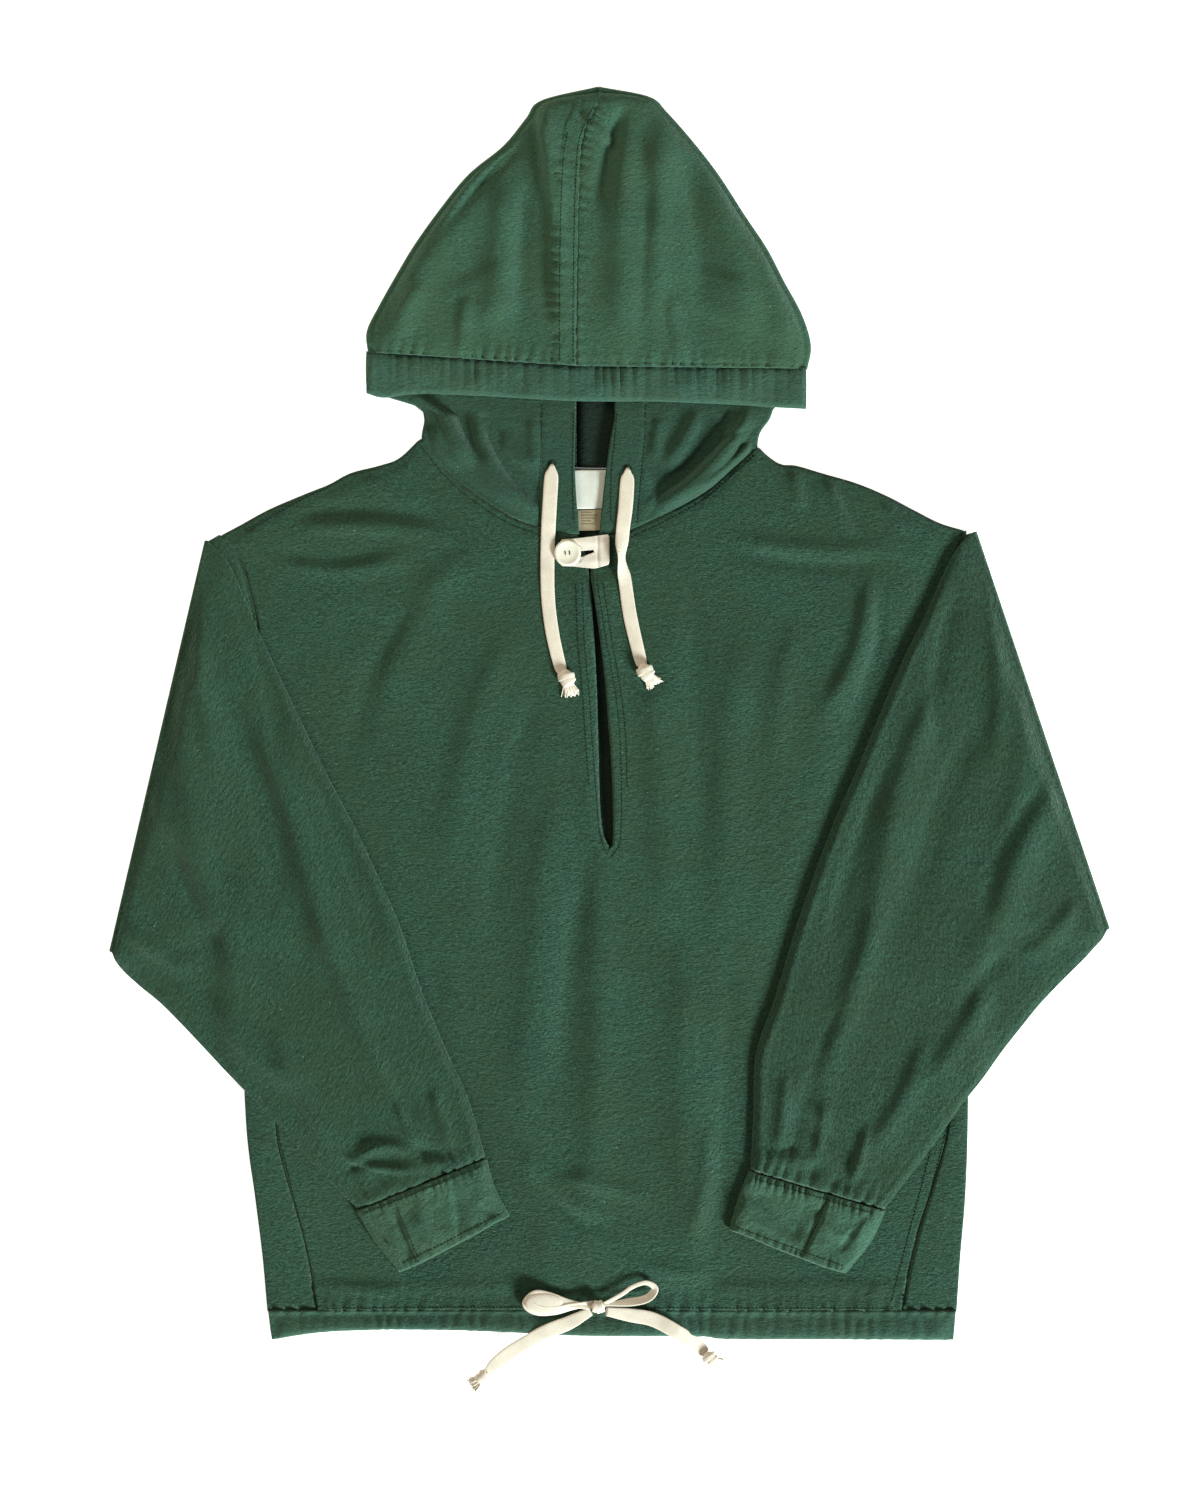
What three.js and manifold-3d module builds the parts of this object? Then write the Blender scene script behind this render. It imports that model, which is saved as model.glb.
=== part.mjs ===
// Hooded pullover smock of brushed cotton, laid flat with its front up and its sleeves turned over.
// Millimetres, +X to the right of the laid garment, +Y towards the hood, +Z up from the surface.
import * as THREE from 'three';
import { mergeVertices } from 'three/addons/utils/BufferGeometryUtils.js';
import Module from 'manifold-3d';

const wasm = await Module();
wasm.setup();

// Cloth and the layers it lies in
const cloth = 1.2;                         // thickness of the brushed cotton
const gap = 0.3;                           // clearance between cloth and cloth, and at straight seams
const curvedGap = 1.0;                     // clearance at the curved armhole and neck seams
const layer = cloth + gap;                 // height that one layer of cloth takes
const frontFloor = layer;                  // underside of the front panel
const frontTop = frontFloor + cloth;       // upper face of the front panel where it lies plain
const sleeveFloor = frontTop + gap;        // underside of a sleeve that lies on the body
const sleeveHalf = cloth + gap / 2;        // half the height of a flattened sleeve
const ribbonWide = 11.6;                   // width of the flat cotton tape
const ribbonThick = 1.1;                   // thickness of that tape
const casingLine = -478;                   // where the hem channel is stitched
const rollTop = -346;                      // how far up the side seams have rolled to the front
const loft = 2.2;                          // how far the front panel bellies up between the sleeves
const cordLine = { x: -48, reach: 26 };    // the left drawcord's place, where the front is even

// Colours from the photograph
const cottonColour = 0x35553f;
const hemColour = 0x3e5c48;
const tapeColour = 0xeee1cc;
const buttonColour = 0xefecde;
const labelColour = 0xe9e7e4;

const finish = (color, roughness) => new THREE.MeshStandardMaterial({ color, roughness, metalness: 0 });
const cotton = () => finish(cottonColour, 0.95);
const hemCotton = () => finish(hemColour, 0.9);
const tapeCotton = () => finish(tapeColour, 0.85);

// Left and right edge of the body from hem to shoulder; the upper rows are the armhole seams
const bodySides = [
  { y: -502, left: -269, right: 274 },
  { y: -478, left: -272, right: 276 },
  { y: -434, left: -276, right: 279 },
  { y: -386, left: -282, right: 283 },
  { y: -330, left: -289, right: 285 },
  { y: -230, left: -293, right: 286 },
  { y: -149, left: -296, right: 287 },
  { y: -100, left: -290, right: 276 },
  { y: -40, left: -285, right: 268 },
  { y: 20, left: -283, right: 264 },
  { y: 69, left: -283, right: 266 },
  { y: 96, left: -288, right: 270 },
  { y: 120, left: -295, right: 276 },
  { y: 142, left: -311, right: 284 },
];

// Shoulder line and front neckline, from the left armhole to the right one
const frontEdge = [
  { x: -311, y: 142 }, { x: -294, y: 151 }, { x: -272, y: 163 }, { x: -244, y: 175 },
  { x: -224, y: 183 }, { x: -207, y: 192 }, { x: -184, y: 199 }, { x: -168, y: 205 },
  { x: -151, y: 220 }, { x: -127, y: 191 }, { x: -100, y: 170 }, { x: -76, y: 156 },
  { x: -48, y: 147 }, { x: -28, y: 143 }, { x: 2, y: 143 }, { x: 20, y: 148 },
  { x: 47, y: 161 }, { x: 77, y: 178 }, { x: 100, y: 198 }, { x: 118, y: 214 },
  { x: 132, y: 202 }, { x: 149, y: 198 }, { x: 173, y: 191 }, { x: 197, y: 184 },
  { x: 221, y: 174 }, { x: 244, y: 162 }, { x: 264, y: 152 }, { x: 284, y: 146 },
];

// The back neckline lies higher than the front one
const backNeck = [
  { x: -151, y: 219 }, { x: -120, y: 208 }, { x: -70, y: 199 }, { x: -10, y: 196 },
  { x: 50, y: 198 }, { x: 95, y: 206 }, { x: 118, y: 213 },
];

// Side seams, which have rolled over to the front near the hem
const rolledSeams = [
  { y: -500, left: -228, right: 231 },
  { y: -467, left: -235, right: 235 },
  { y: -418, left: -245, right: 246 },
  { y: -380, left: -256, right: 258 },
  { y: -333, left: -269, right: 270 },
];

// Sections of the left sleeve after its turn: inner edge on the chest, outer edge on the underarm seam
const leftSections = [
  { innerX: -321, innerY: 137, outerX: -397, outerY: -190 },
  { innerX: -304, innerY: 118, outerX: -394, outerY: -197 },
  { innerX: -284, innerY: 72, outerX: -387, outerY: -206 },
  { innerX: -265, innerY: 31, outerX: -375, outerY: -217 },
  { innerX: -244, innerY: -13, outerX: -358, outerY: -231 },
  { innerX: -224, innerY: -54, outerX: -341, outerY: -248 },
  { innerX: -204, innerY: -92, outerX: -324, outerY: -266 },
  { innerX: -186, innerY: -130, outerX: -308, outerY: -283 },
  { innerX: -168, innerY: -171, outerX: -290, outerY: -301 },
  { innerX: -151, innerY: -222, outerX: -264, outerY: -328 },
  { innerX: -131, innerY: -270, outerX: -234, outerY: -361 },
  { innerX: -114, innerY: -308, outerX: -215, outerY: -381 },
  { innerX: -101, innerY: -352, outerX: -202, outerY: -393 },
];

// The same for the right sleeve
const rightSections = [
  { innerX: 291, innerY: 144, outerX: 397, outerY: -172 },
  { innerX: 278, innerY: 131, outerX: 393, outerY: -179 },
  { innerX: 266, innerY: 108, outerX: 387, outerY: -186 },
  { innerX: 252, innerY: 76, outerX: 379, outerY: -195 },
  { innerX: 236, innerY: 44, outerX: 369, outerY: -205 },
  { innerX: 218, innerY: 2, outerX: 355, outerY: -219 },
  { innerX: 199, innerY: -44, outerX: 342, outerY: -233 },
  { innerX: 180, innerY: -88, outerX: 329, outerY: -249 },
  { innerX: 162, innerY: -136, outerX: 314, outerY: -268 },
  { innerX: 147, innerY: -181, outerX: 298, outerY: -290 },
  { innerX: 133, innerY: -228, outerX: 281, outerY: -311 },
  { innerX: 118, innerY: -272, outerX: 262, outerY: -338 },
  { innerX: 116, innerY: -318, outerX: 241, outerY: -366 },
  { innerX: 114, innerY: -362, outerX: 220, outerY: -393 },
];

// Cuffs, from the sleeve seam to the open end
const cuffs = {
  left: [
    { innerX: -99.5, innerY: -356, outerX: -201, outerY: -397 },
    { innerX: -93, innerY: -379, outerX: -186, outerY: -421 },
    { innerX: -81, innerY: -402, outerX: -166, outerY: -446 },
  ],
  right: [
    { innerX: 112.5, innerY: -366, outerX: 219, outerY: -397 },
    { innerX: 103, innerY: -391, outerX: 207, outerY: -422 },
    { innerX: 97, innerY: -413, outerX: 187, outerY: -447 },
  ],
};

// Outline of the hood, and for each row the place on its centre seam that the row starts from
const hoodRows = [
  { seamX: -26.5, seamY: 277, leftX: -192, leftY: 288, rightX: 157, rightY: 275 },
  { seamX: -26.5, seamY: 300, leftX: -193, leftY: 305, rightX: 160, rightY: 294 },
  { seamX: -26.4, seamY: 325, leftX: -184, leftY: 324, rightX: 153, rightY: 318 },
  { seamX: -26, seamY: 350, leftX: -170, leftY: 349, rightX: 138, rightY: 346 },
  { seamX: -25.5, seamY: 375, leftX: -155, leftY: 374, rightX: 125, rightY: 371 },
  { seamX: -25, seamY: 400, leftX: -135, leftY: 402, rightX: 107, rightY: 398 },
  { seamX: -24.5, seamY: 422, leftX: -112, leftY: 430, rightX: 87, rightY: 429 },
  { seamX: -24, seamY: 442, leftX: -84, leftY: 453, rightX: 67, rightY: 455 },
  { seamX: -21, seamY: 460, leftX: -66, leftY: 475, rightX: 45, rightY: 480 },
  { seamX: -13, seamY: 474, leftX: -54, leftY: 489, rightX: 31, rightY: 492 },
  { seamX: -9, seamY: 484, leftX: -9, leftY: 500, rightX: -8, rightY: 500 },
];

// Lower part of the hood: its side edge, the edge of each front band
const neckRows = [
  { y: 141, side: -150, band: -26, rightSide: 117, rightBand: -1 },
  { y: 195, side: -149, band: -28, rightSide: 117, rightBand: -3 },
  { y: 221, side: -149, band: -28, rightSide: 118, rightBand: 2 },
  { y: 236, side: -147, band: -27, rightSide: 127, rightBand: 4 },
  { y: 246, side: -153, band: -27, rightSide: 132, rightBand: 4 },
  { y: 256, side: -182, band: -27, rightSide: 150, rightBand: 4 },
  { y: 268, side: -190, band: -27, rightSide: 154, rightBand: 4 },
  { y: 300, side: -188, band: -27, rightSide: 155, rightBand: 4 },
];
const neckTop = 298;                       // how far the lower part runs up under the hood's top layer

// Hood hem: its stitched line above and its edge below
const hemRows = [
  { x: -192, edge: 256, stitch: 287.6 }, { x: -104, edge: 253, stitch: 281.8 },
  { x: -26.5, edge: 250, stitch: 276.6 }, { x: 40, edge: 250, stitch: 275.8 },
  { x: 157, edge: 244, stitch: 274.6 },
];

// Large folds of the front panel: from, to, half width and height
const frontFolds = [
  { fromX: -246, fromY: 160, toX: -112, toY: 142, wide: 8, high: 2.6 },
  { fromX: -262, fromY: 122, toX: -160, toY: 132, wide: 9, high: 2.2 },
  { fromX: -110, fromY: 128, toX: -178, toY: 20, wide: 14, high: 2.0 },
  { fromX: -84, fromY: 60, toX: -122, toY: -120, wide: 15, high: 2.2 },
  { fromX: -44, fromY: -60, toX: -62, toY: -330, wide: 16, high: 2.4 },
  { fromX: 36, fromY: 60, toX: 46, toY: -150, wide: 14, high: 2.2 },
  { fromX: 92, fromY: 130, toX: 226, toY: 128, wide: 9, high: 2.4 },
  { fromX: 149, fromY: 192, toX: 152, toY: 168, wide: 6, high: 2.2 },
  { fromX: 176, fromY: 186, toX: 196, toY: 150, wide: 6, high: 2.4 },
  { fromX: 222, fromY: 168, toX: 238, toY: 146, wide: 6, high: 1.8 },
  { fromX: 206, fromY: 96, toX: 158, toY: -10, wide: 10, high: 2.6 },
  { fromX: 108, fromY: 60, toX: 92, toY: -200, wide: 16, high: 2.0 },
  { fromX: 60, fromY: -190, toX: 70, toY: -440, wide: 18, high: 2.4 },
  { fromX: -10, fromY: -150, toX: 2, toY: -450, wide: 14, high: 1.8 },
  { fromX: -232, fromY: -300, toX: -226, toY: -452, wide: 12, high: 1.6 },
];

// Large folds of the hood's top layer
const hoodFolds = [
  { fromX: -56, fromY: 484, toX: -43, toY: 300, wide: 9, high: 2.6 },
  { fromX: -64, fromY: 466, toX: -134, toY: 384, wide: 8, high: 2.2 },
  { fromX: -120, fromY: 400, toX: -160, toY: 310, wide: 18, high: 1.6 },
  { fromX: -84, fromY: 420, toX: -92, toY: 300, wide: 14, high: 1.6 },
  { fromX: -8, fromY: 470, toX: -12, toY: 300, wide: 7, high: 1.8 },
  { fromX: 46, fromY: 460, toX: 40, toY: 296, wide: 13, high: 2.6 },
  { fromX: 80, fromY: 420, toX: 112, toY: 300, wide: 16, high: 2.0 },
];

// Folds of the hood's lower sides, which run from the neck down to the bands
const neckFolds = [
  { fromX: -133, fromY: 250, toX: -111, toY: 206, wide: 7, high: 3.2 },
  { fromX: -107, fromY: 230, toX: -60, toY: 166, wide: 6, high: 2.6 },
  { fromX: 108, fromY: 236, toX: 38, toY: 172, wide: 8, high: 3.0 },
  { fromX: 118, fromY: 224, toX: 72, toY: 184, wide: 5, high: 2.4 },
];

// Folds of each sleeve's upper layer
const sleeveFolds = {
  left: [
    { fromX: -338, fromY: 90, toX: -300, toY: -120, wide: 14, high: 2.4 },
    { fromX: -356, fromY: -60, toX: -286, toY: -236, wide: 16, high: 2.6 },
    { fromX: -270, fromY: -20, toX: -216, toY: -220, wide: 14, high: 2.4 },
    { fromX: -228, fromY: -170, toX: -166, toY: -300, wide: 12, high: 2.2 },
    { fromX: -196, fromY: -352, toX: -150, toY: -356, wide: 5, high: 2.4 },
    { fromX: -262, fromY: -290, toX: -196, toY: -360, wide: 9, high: 2.0 },
  ],
  right: [
    { fromX: 312, fromY: 96, toX: 300, toY: -110, wide: 14, high: 2.4 },
    { fromX: 352, fromY: -40, toX: 284, toY: -220, wide: 16, high: 2.6 },
    { fromX: 256, fromY: 10, toX: 206, toY: -190, wide: 14, high: 2.4 },
    { fromX: 210, fromY: -160, toX: 164, toY: -300, wide: 12, high: 2.2 },
    { fromX: 250, fromY: -270, toX: 196, toY: -352, wide: 9, high: 2.0 },
  ],
};

// Neck slit: its two edges, which touch at the top and stand apart below
const slitRows = [
  { y: 150, left: -24, right: -9 }, { y: 134, left: -17.4, right: -15.6 },
  { y: 92, left: -13.8, right: -12.4 }, { y: 62, left: -9.3, right: -7.6 },
  { y: 19, left: -6.4, right: -2 }, { y: -20, left: -6, right: 0.5 },
  { y: -50, left: -2.8, right: 2 }, { y: -66, left: 0.6, right: 2.4 },
  { y: -84, left: -2.6, right: 2.8 }, { y: -103, left: 0.4, right: 2.4 },
];

// Drawcords and tails of the bow: the middle of the tape, and its width there as a share
const drawcordRoutes = {
  left: [
    { x: -46.5, y: 190, wide: 1 }, { x: -47.6, y: 170, wide: 1 }, { x: -48.9, y: 146, wide: 1 },
    { x: -49.6, y: 119, wide: 0.97 }, { x: -48.9, y: 90, wide: 0.95 }, { x: -45.2, y: 62, wide: 0.93 },
    { x: -39.5, y: 38, wide: 0.85 }, { x: -35, y: 29, wide: 0.7 },
  ],
  right: [
    { x: 14.2, y: 187, wide: 1 }, { x: 12.8, y: 165, wide: 1 }, { x: 10.6, y: 146, wide: 0.95 },
    { x: 9.6, y: 126, wide: 0.6 }, { x: 12.6, y: 104, wide: 0.85 }, { x: 16.8, y: 76, wide: 0.95 },
    { x: 24.4, y: 44, wide: 0.85 }, { x: 28.4, y: 35, wide: 0.7 },
  ],
};
const tailRoutes = {
  left: [
    { x: -12, y: -477, wide: 0.6 }, { x: -32, y: -486, wide: 0.95 }, { x: -50, y: -493, wide: 1 },
    { x: -66, y: -502, wide: 1 }, { x: -80, y: -511, wide: 1 }, { x: -100, y: -529, wide: 0.8 },
  ],
  right: [
    { x: -4, y: -477, wide: 0.6 }, { x: 16, y: -480, wide: 0.95 }, { x: 33, y: -483, wide: 1 },
    { x: 48, y: -490, wide: 1 }, { x: 62, y: -499, wide: 1 }, { x: 79.4, y: -513.6, wide: 0.8 },
  ],
};
const knots = {
  left: { drawcord: { x: -34, y: 28, radius: 6.4 }, tail: { x: -101.4, y: -530.5, radius: 6 } },
  right: { drawcord: { x: 29, y: 33, radius: 6.4 }, tail: { x: 80.6, y: -515, radius: 6 } },
};
const button = { x: -33.5, y: 128, radius: 10.8, thick: 2.8, hole: 1.1, spread: 2.6 };
const bowKnot = { x: -9, y: -473, long: 8, wide: 6.4, high: 3.6 };

// Shaping helpers
const lerp = THREE.MathUtils.lerp;
const ease = THREE.MathUtils.smoothstep;

// Value of a table's column, on a smooth line through its rows
function read(table, key, at, column) {
  const last = table.length - 1;
  let row = 0;
  while (row < last - 1 && at > table[row + 1][key]) row += 1;
  const low = table[row];
  const high = table[row + 1];
  const t = THREE.MathUtils.clamp((at - low[key]) / (high[key] - low[key]), 0, 1);
  return lerp(low[column], high[column], t);
}

// A section between the rows of a table, smooth along the table
function section(table, t) {
  const place = t * (table.length - 1);
  const row = Math.min(Math.floor(place), table.length - 2);
  const part = place - row;
  const mixed = {};
  for (const column of Object.keys(table[0])) {
    const four = [-1, 0, 1, 2].map((step) => {
      const index = THREE.MathUtils.clamp(row + step, 0, table.length - 1);
      return table[index][column];
    });
    const slopeIn = (four[2] - four[0]) / 2;
    const slopeOut = (four[3] - four[1]) / 2;
    mixed[column] = hermite(four[1], four[2], slopeIn, slopeOut, part);
  }
  return mixed;
}

function hermite(from, to, slopeIn, slopeOut, t) {
  const square = t * t;
  const cube = square * t;
  return (2 * cube - 3 * square + 1) * from + (cube - 2 * square + t) * slopeIn
    + (3 * square - 2 * cube) * to + (cube - square) * slopeOut;
}

// Height of a set of soft folds at a place
function foldHeight(folds, x, y) {
  let height = 0;
  for (const fold of folds) {
    const runX = fold.toX - fold.fromX;
    const runY = fold.toY - fold.fromY;
    const along = ((x - fold.fromX) * runX + (y - fold.fromY) * runY) / (runX ** 2 + runY ** 2);
    const t = THREE.MathUtils.clamp(along, 0, 1);
    const away = Math.hypot(x - fold.fromX - t * runX, y - fold.fromY - t * runY);
    height = Math.max(height, fold.high * Math.exp(-((away / fold.wide) ** 2)));
  }
  return height;
}

// Distance from a place to a closed outline, positive outside
function outside(outline, x, y) {
  let nearest = Infinity;
  let inside = false;
  outline.forEach((a, index) => {
    const b = outline[(index + 1) % outline.length];
    const run = new THREE.Vector2().subVectors(b, a);
    const t = THREE.MathUtils.clamp(((x - a.x) * run.x + (y - a.y) * run.y) / run.lengthSq(), 0, 1);
    nearest = Math.min(nearest, Math.hypot(x - a.x - t * run.x, y - a.y - t * run.y));
    if (a.y > y !== b.y > y && x < ((b.x - a.x) * (y - a.y)) / (b.y - a.y) + a.x) inside = !inside;
  });
  return inside ? -nearest : nearest;
}

// Closed meshes from a list of points and faces, turned so that the faces point out
function solidFrom(points, faces) {
  let volume = 0;
  for (const [a, b, c] of faces) {
    volume += points[a].dot(new THREE.Vector3().crossVectors(points[b], points[c]));
  }
  const order = volume < 0 ? faces.map(([a, b, c]) => [a, c, b]) : faces;
  const geometry = new THREE.BufferGeometry();
  geometry.setAttribute('position', new THREE.Float32BufferAttribute(points.flatMap((p) => p.toArray()), 3));
  geometry.setIndex(order.flat());
  geometry.computeVertexNormals();
  return geometry;
}

// A sheet with an upper and an under face; place(u, v, face) gives a point
function sheet(columns, rows, place) {
  const points = [];
  const faces = [];
  const at = (i, j, face) => (face * (rows + 1) + j) * (columns + 1) + i;
  const quad = (a, b, c, d) => faces.push([a, b, c], [a, c, d]);
  for (const face of [0, 1]) {
    for (let j = 0; j <= rows; j += 1) {
      for (let i = 0; i <= columns; i += 1) points.push(place(i / columns, j / rows, face));
    }
  }
  for (let j = 0; j < rows; j += 1) {
    for (let i = 0; i < columns; i += 1) {
      quad(at(i, j, 1), at(i + 1, j, 1), at(i + 1, j + 1, 1), at(i, j + 1, 1));
      quad(at(i, j, 0), at(i, j + 1, 0), at(i + 1, j + 1, 0), at(i + 1, j, 0));
    }
    quad(at(0, j, 0), at(0, j, 1), at(0, j + 1, 1), at(0, j + 1, 0));
    quad(at(columns, j, 0), at(columns, j + 1, 0), at(columns, j + 1, 1), at(columns, j, 1));
  }
  for (let i = 0; i < columns; i += 1) {
    quad(at(i, 0, 0), at(i + 1, 0, 0), at(i + 1, 0, 1), at(i, 0, 1));
    quad(at(i, rows, 0), at(i, rows, 1), at(i + 1, rows, 1), at(i + 1, rows, 0));
  }
  return solidFrom(points, faces);
}

// A tube wall that is open at both ends; place(ring, step, face) gives a point, with face 1 outside
function openTube(rings, steps, place) {
  const points = [];
  const faces = [];
  const at = (ring, step, face) => (ring * 2 + face) * steps + (step % steps);
  const quad = (a, b, c, d) => faces.push([a, b, c], [a, c, d]);
  for (let ring = 0; ring <= rings; ring += 1) {
    for (const face of [0, 1]) {
      for (let step = 0; step < steps; step += 1) points.push(place(ring, step, face));
    }
  }
  for (let step = 0; step < steps; step += 1) {
    for (let ring = 0; ring < rings; ring += 1) {
      quad(at(ring, step, 1), at(ring, step + 1, 1), at(ring + 1, step + 1, 1), at(ring + 1, step, 1));
      quad(at(ring, step, 0), at(ring + 1, step, 0), at(ring + 1, step + 1, 0), at(ring, step + 1, 0));
    }
    quad(at(0, step, 0), at(0, step + 1, 0), at(0, step + 1, 1), at(0, step, 1));
    quad(at(rings, step, 0), at(rings, step, 1), at(rings, step + 1, 1), at(rings, step + 1, 0));
  }
  return solidFrom(points, faces);
}

// A solid through a row of closed rings, with flat ends
function loft3(rings) {
  const steps = rings[0].length;
  const points = rings.flat();
  const faces = [];
  for (let ring = 0; ring < rings.length - 1; ring += 1) {
    for (let step = 0; step < steps; step += 1) {
      const next = (step + 1) % steps;
      const a = ring * steps + step;
      const b = ring * steps + next;
      faces.push([a, b, b + steps], [a, b + steps, a + steps]);
    }
  }
  const end = (rings.length - 1) * steps;
  for (let step = 1; step < steps - 1; step += 1) {
    faces.push([0, step + 1, step], [end, end + step, end + step + 1]);
  }
  return solidFrom(points, faces);
}

// Joining and cutting
function toManifold(geometry) {
  const bare = geometry.clone();
  bare.deleteAttribute('normal');
  bare.deleteAttribute('uv');
  const merged = mergeVertices(bare, 1e-4);
  const mesh = new wasm.Mesh({
    numProp: 3,
    vertProperties: new Float32Array(merged.attributes.position.array),
    triVerts: new Uint32Array(merged.index.array),
  });
  return new wasm.Manifold(mesh);
}

function fromManifold(solid) {
  const mesh = solid.getMesh();
  const geometry = new THREE.BufferGeometry();
  geometry.setAttribute('position', new THREE.BufferAttribute(new Float32Array(mesh.vertProperties), 3));
  geometry.setIndex(new THREE.BufferAttribute(new Uint32Array(mesh.triVerts), 1));
  geometry.computeVertexNormals();
  return geometry;
}


// A piece cut back to leave a small clearance round a lump at a place
function clearOf(geometry, lump, at) {
  const grown = lump.clone();
  grown.translate(-at.x, -at.y, -at.z);
  grown.scale(1.06, 1.06, 1.1);
  grown.translate(at.x, at.y, at.z);
  return cut(geometry, grown);
}

const joined = (a, b) => fromManifold(toManifold(a).add(toManifold(b)));
const cut = (a, b) => fromManifold(toManifold(a).subtract(toManifold(b)));

// A flat outline raised between two heights
function slab(outline, from, to, holes = []) {
  const rim = outline.map((p) => new THREE.Vector2(p.x, p.y));
  if (THREE.ShapeUtils.isClockWise(rim)) rim.reverse();
  const shape = new THREE.Shape(rim);
  for (const hole of holes) shape.holes.push(new THREE.Path(hole));
  const geometry = new THREE.ExtrudeGeometry(shape, { depth: to - from, bevelEnabled: false, curveSegments: 6 });
  geometry.translate(0, 0, from);
  return geometry;
}

// Edges of the sleeves on the chest: the front panel lies plain under and beside them
const chest = (y, side) => {
  const rows = side === 'left' ? leftSections : rightSections;
  const upward = [...rows, ...cuffs[side].slice(1)].reverse();
  const y0 = upward[0].innerY;
  return read(upward, 'innerY', Math.max(y, y0), 'innerX');
};

// How far the front panel may rise at a place: nothing under sleeves and cuffs, all of it between them
function freedom(x, y) {
  const fromSleeves = ease(x, chest(y, 'left') + 6, chest(y, 'left') + 40)
    * ease(-x, -chest(y, 'right') + 6, -chest(y, 'right') + 40);
  const belowCuffs = 1 - ease(y, -462, -448);
  const fromCords = 1 - 0.75 * (1 - ease(Math.abs(x - cordLine.x), 9, cordLine.reach)) * ease(y, 10, 40);
  const fromNeck = 1 - ease(y, read(frontEdge, 'x', x, 'y') - 10, read(frontEdge, 'x', x, 'y') - 1);
  const fromHem = ease(y, casingLine + 1, casingLine + 16);
  return Math.max(fromSleeves, belowCuffs) * fromCords * fromHem * (0.35 + 0.65 * fromNeck);
}

// Upper face of the front panel
function frontHeight(x, y) {
  return frontTop + freedom(x, y) * (0.5 * loft + foldHeight(frontFolds, x, y));
}

// A place on a body panel: u across from the left side to the right one, v up from the hem
function bodyPlace(u, v, edges, topEdge) {
  let x = 0;
  let y = 0;
  for (let round = 0; round < 30; round += 1) {
    const nextX = lerp(edges(y, 'left'), edges(y, 'right'), u);
    x = (x + nextX) / 2;
    y = lerp(casingLine + gap, topEdge(x), v);
  }
  return { x, y };
}

const shoulderOrNeck = (x) => read(frontEdge, 'x', x, 'y');
const shoulderOrBackNeck = (x) => {
  const overNeck = x > -151 && x < 118;
  return overNeck ? read(backNeck, 'x', x, 'y') : shoulderOrNeck(x);
};
const backSides = (y, side) => read(bodySides, 'y', y, side);
const frontSides = (y, side) => {
  const inward = side === 'left' ? 1 : -1;
  const plain = backSides(y, side) + inward * 1.5;
  if (y > rollTop + 14) return plain;
  const seam = read(rolledSeams, 'y', y, side) + inward * 2 * gap;
  return lerp(seam, plain, ease(y, rollTop + gap, rollTop + 14));
};

function backPanel() {
  const panel = sheet(12, 20, (u, v, face) => {
    const { x, y } = bodyPlace(u, v, backSides, shoulderOrBackNeck);
    return new THREE.Vector3(x, y, face * cloth);
  });
  return joined(joined(panel, sideRoll('left')), sideRoll('right'));
}

// The strip of the back panel that has rolled over to the front beside a side seam
function sideRoll(side) {
  const outward = side === 'left' ? -1 : 1;
  const bend = 4;
  return sheet(6, 5, (u, v, face) => {
    const y = lerp(casingLine + gap, rollTop - 26, v);
    const edge = backSides(y, side);
    const seam = read(rolledSeams, 'y', y, side);
    const radius = face === 1 ? cloth + gap / 2 : gap / 2;
    const middle = cloth + gap / 2;
    if (u * 6 <= 1) return new THREE.Vector3(lerp(edge - outward * 12, edge - outward * 3, u * 6), y, middle - radius);
    if (u * 6 >= bend) {
      const reach = lerp(edge - outward * 3, seam, (u * 6 - bend) / (6 - bend));
      return new THREE.Vector3(reach, y, middle + radius);
    }
    const turn = ((u * 6 - 1) / (bend - 1)) * Math.PI;
    const x = edge - outward * 3 + outward * radius * 2 * Math.sin(turn);
    return new THREE.Vector3(x, y, middle - radius * Math.cos(turn));
  });
}

function frontPanel() {
  const panel = sheet(25, 21, (u, v, face) => {
    const { x, y } = bodyPlace(u, v, frontSides, shoulderOrNeck);
    return new THREE.Vector3(x, y, frontHeight(x, y) - (1 - face) * cloth);
  });
  const outline = [
    ...slitRows.map((row) => ({ x: row.left, y: row.y })),
    ...[...slitRows].reverse().map((row) => ({ x: row.right, y: row.y })),
  ];
  return cut(panel, slab(outline, -1, 30));
}

// Hem channel all round, gathered by its tape
function hemCasing() {
  const across = 58;
  const steps = across * 2;
  const gathers = 17;
  const bottom = (x) => -499 + 5 * Math.cos(x / 88) - (Math.abs(x) < 240 ? 0 : 2);
  return openTube(3, steps, (ring, step, face) => {
    const onTop = step < across;
    const place = onTop ? step / (across - 1) : 1 - (step - across) / (across - 1);
    const y = lerp(casingLine - gap, bottom(lerp(-269, 274, place)), ring / 3);
    const inset = face === 1 ? 0 : cloth;
    const x = lerp(backSides(y, 'left') + inset, backSides(y, 'right') - inset, place);
    const swell = Math.sin((ring / 3) * Math.PI);
    const ripple = Math.sin(place * gathers * 2 * Math.PI + 1.3 * Math.sin(place * 17));
    const free = Math.min(1, place * 20, (1 - place) * 20);
    const under = face === 1 ? 0 : cloth;
    if (!onTop) return new THREE.Vector3(x, y, under);
    const top = frontTop + free * (1.1 + 1.3 * swell + 0.7 * ripple * (0.5 + 0.5 * swell));
    return new THREE.Vector3(x, y, face === 1 ? top : top - cloth - 0.2 * free);
  });
}

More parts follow.
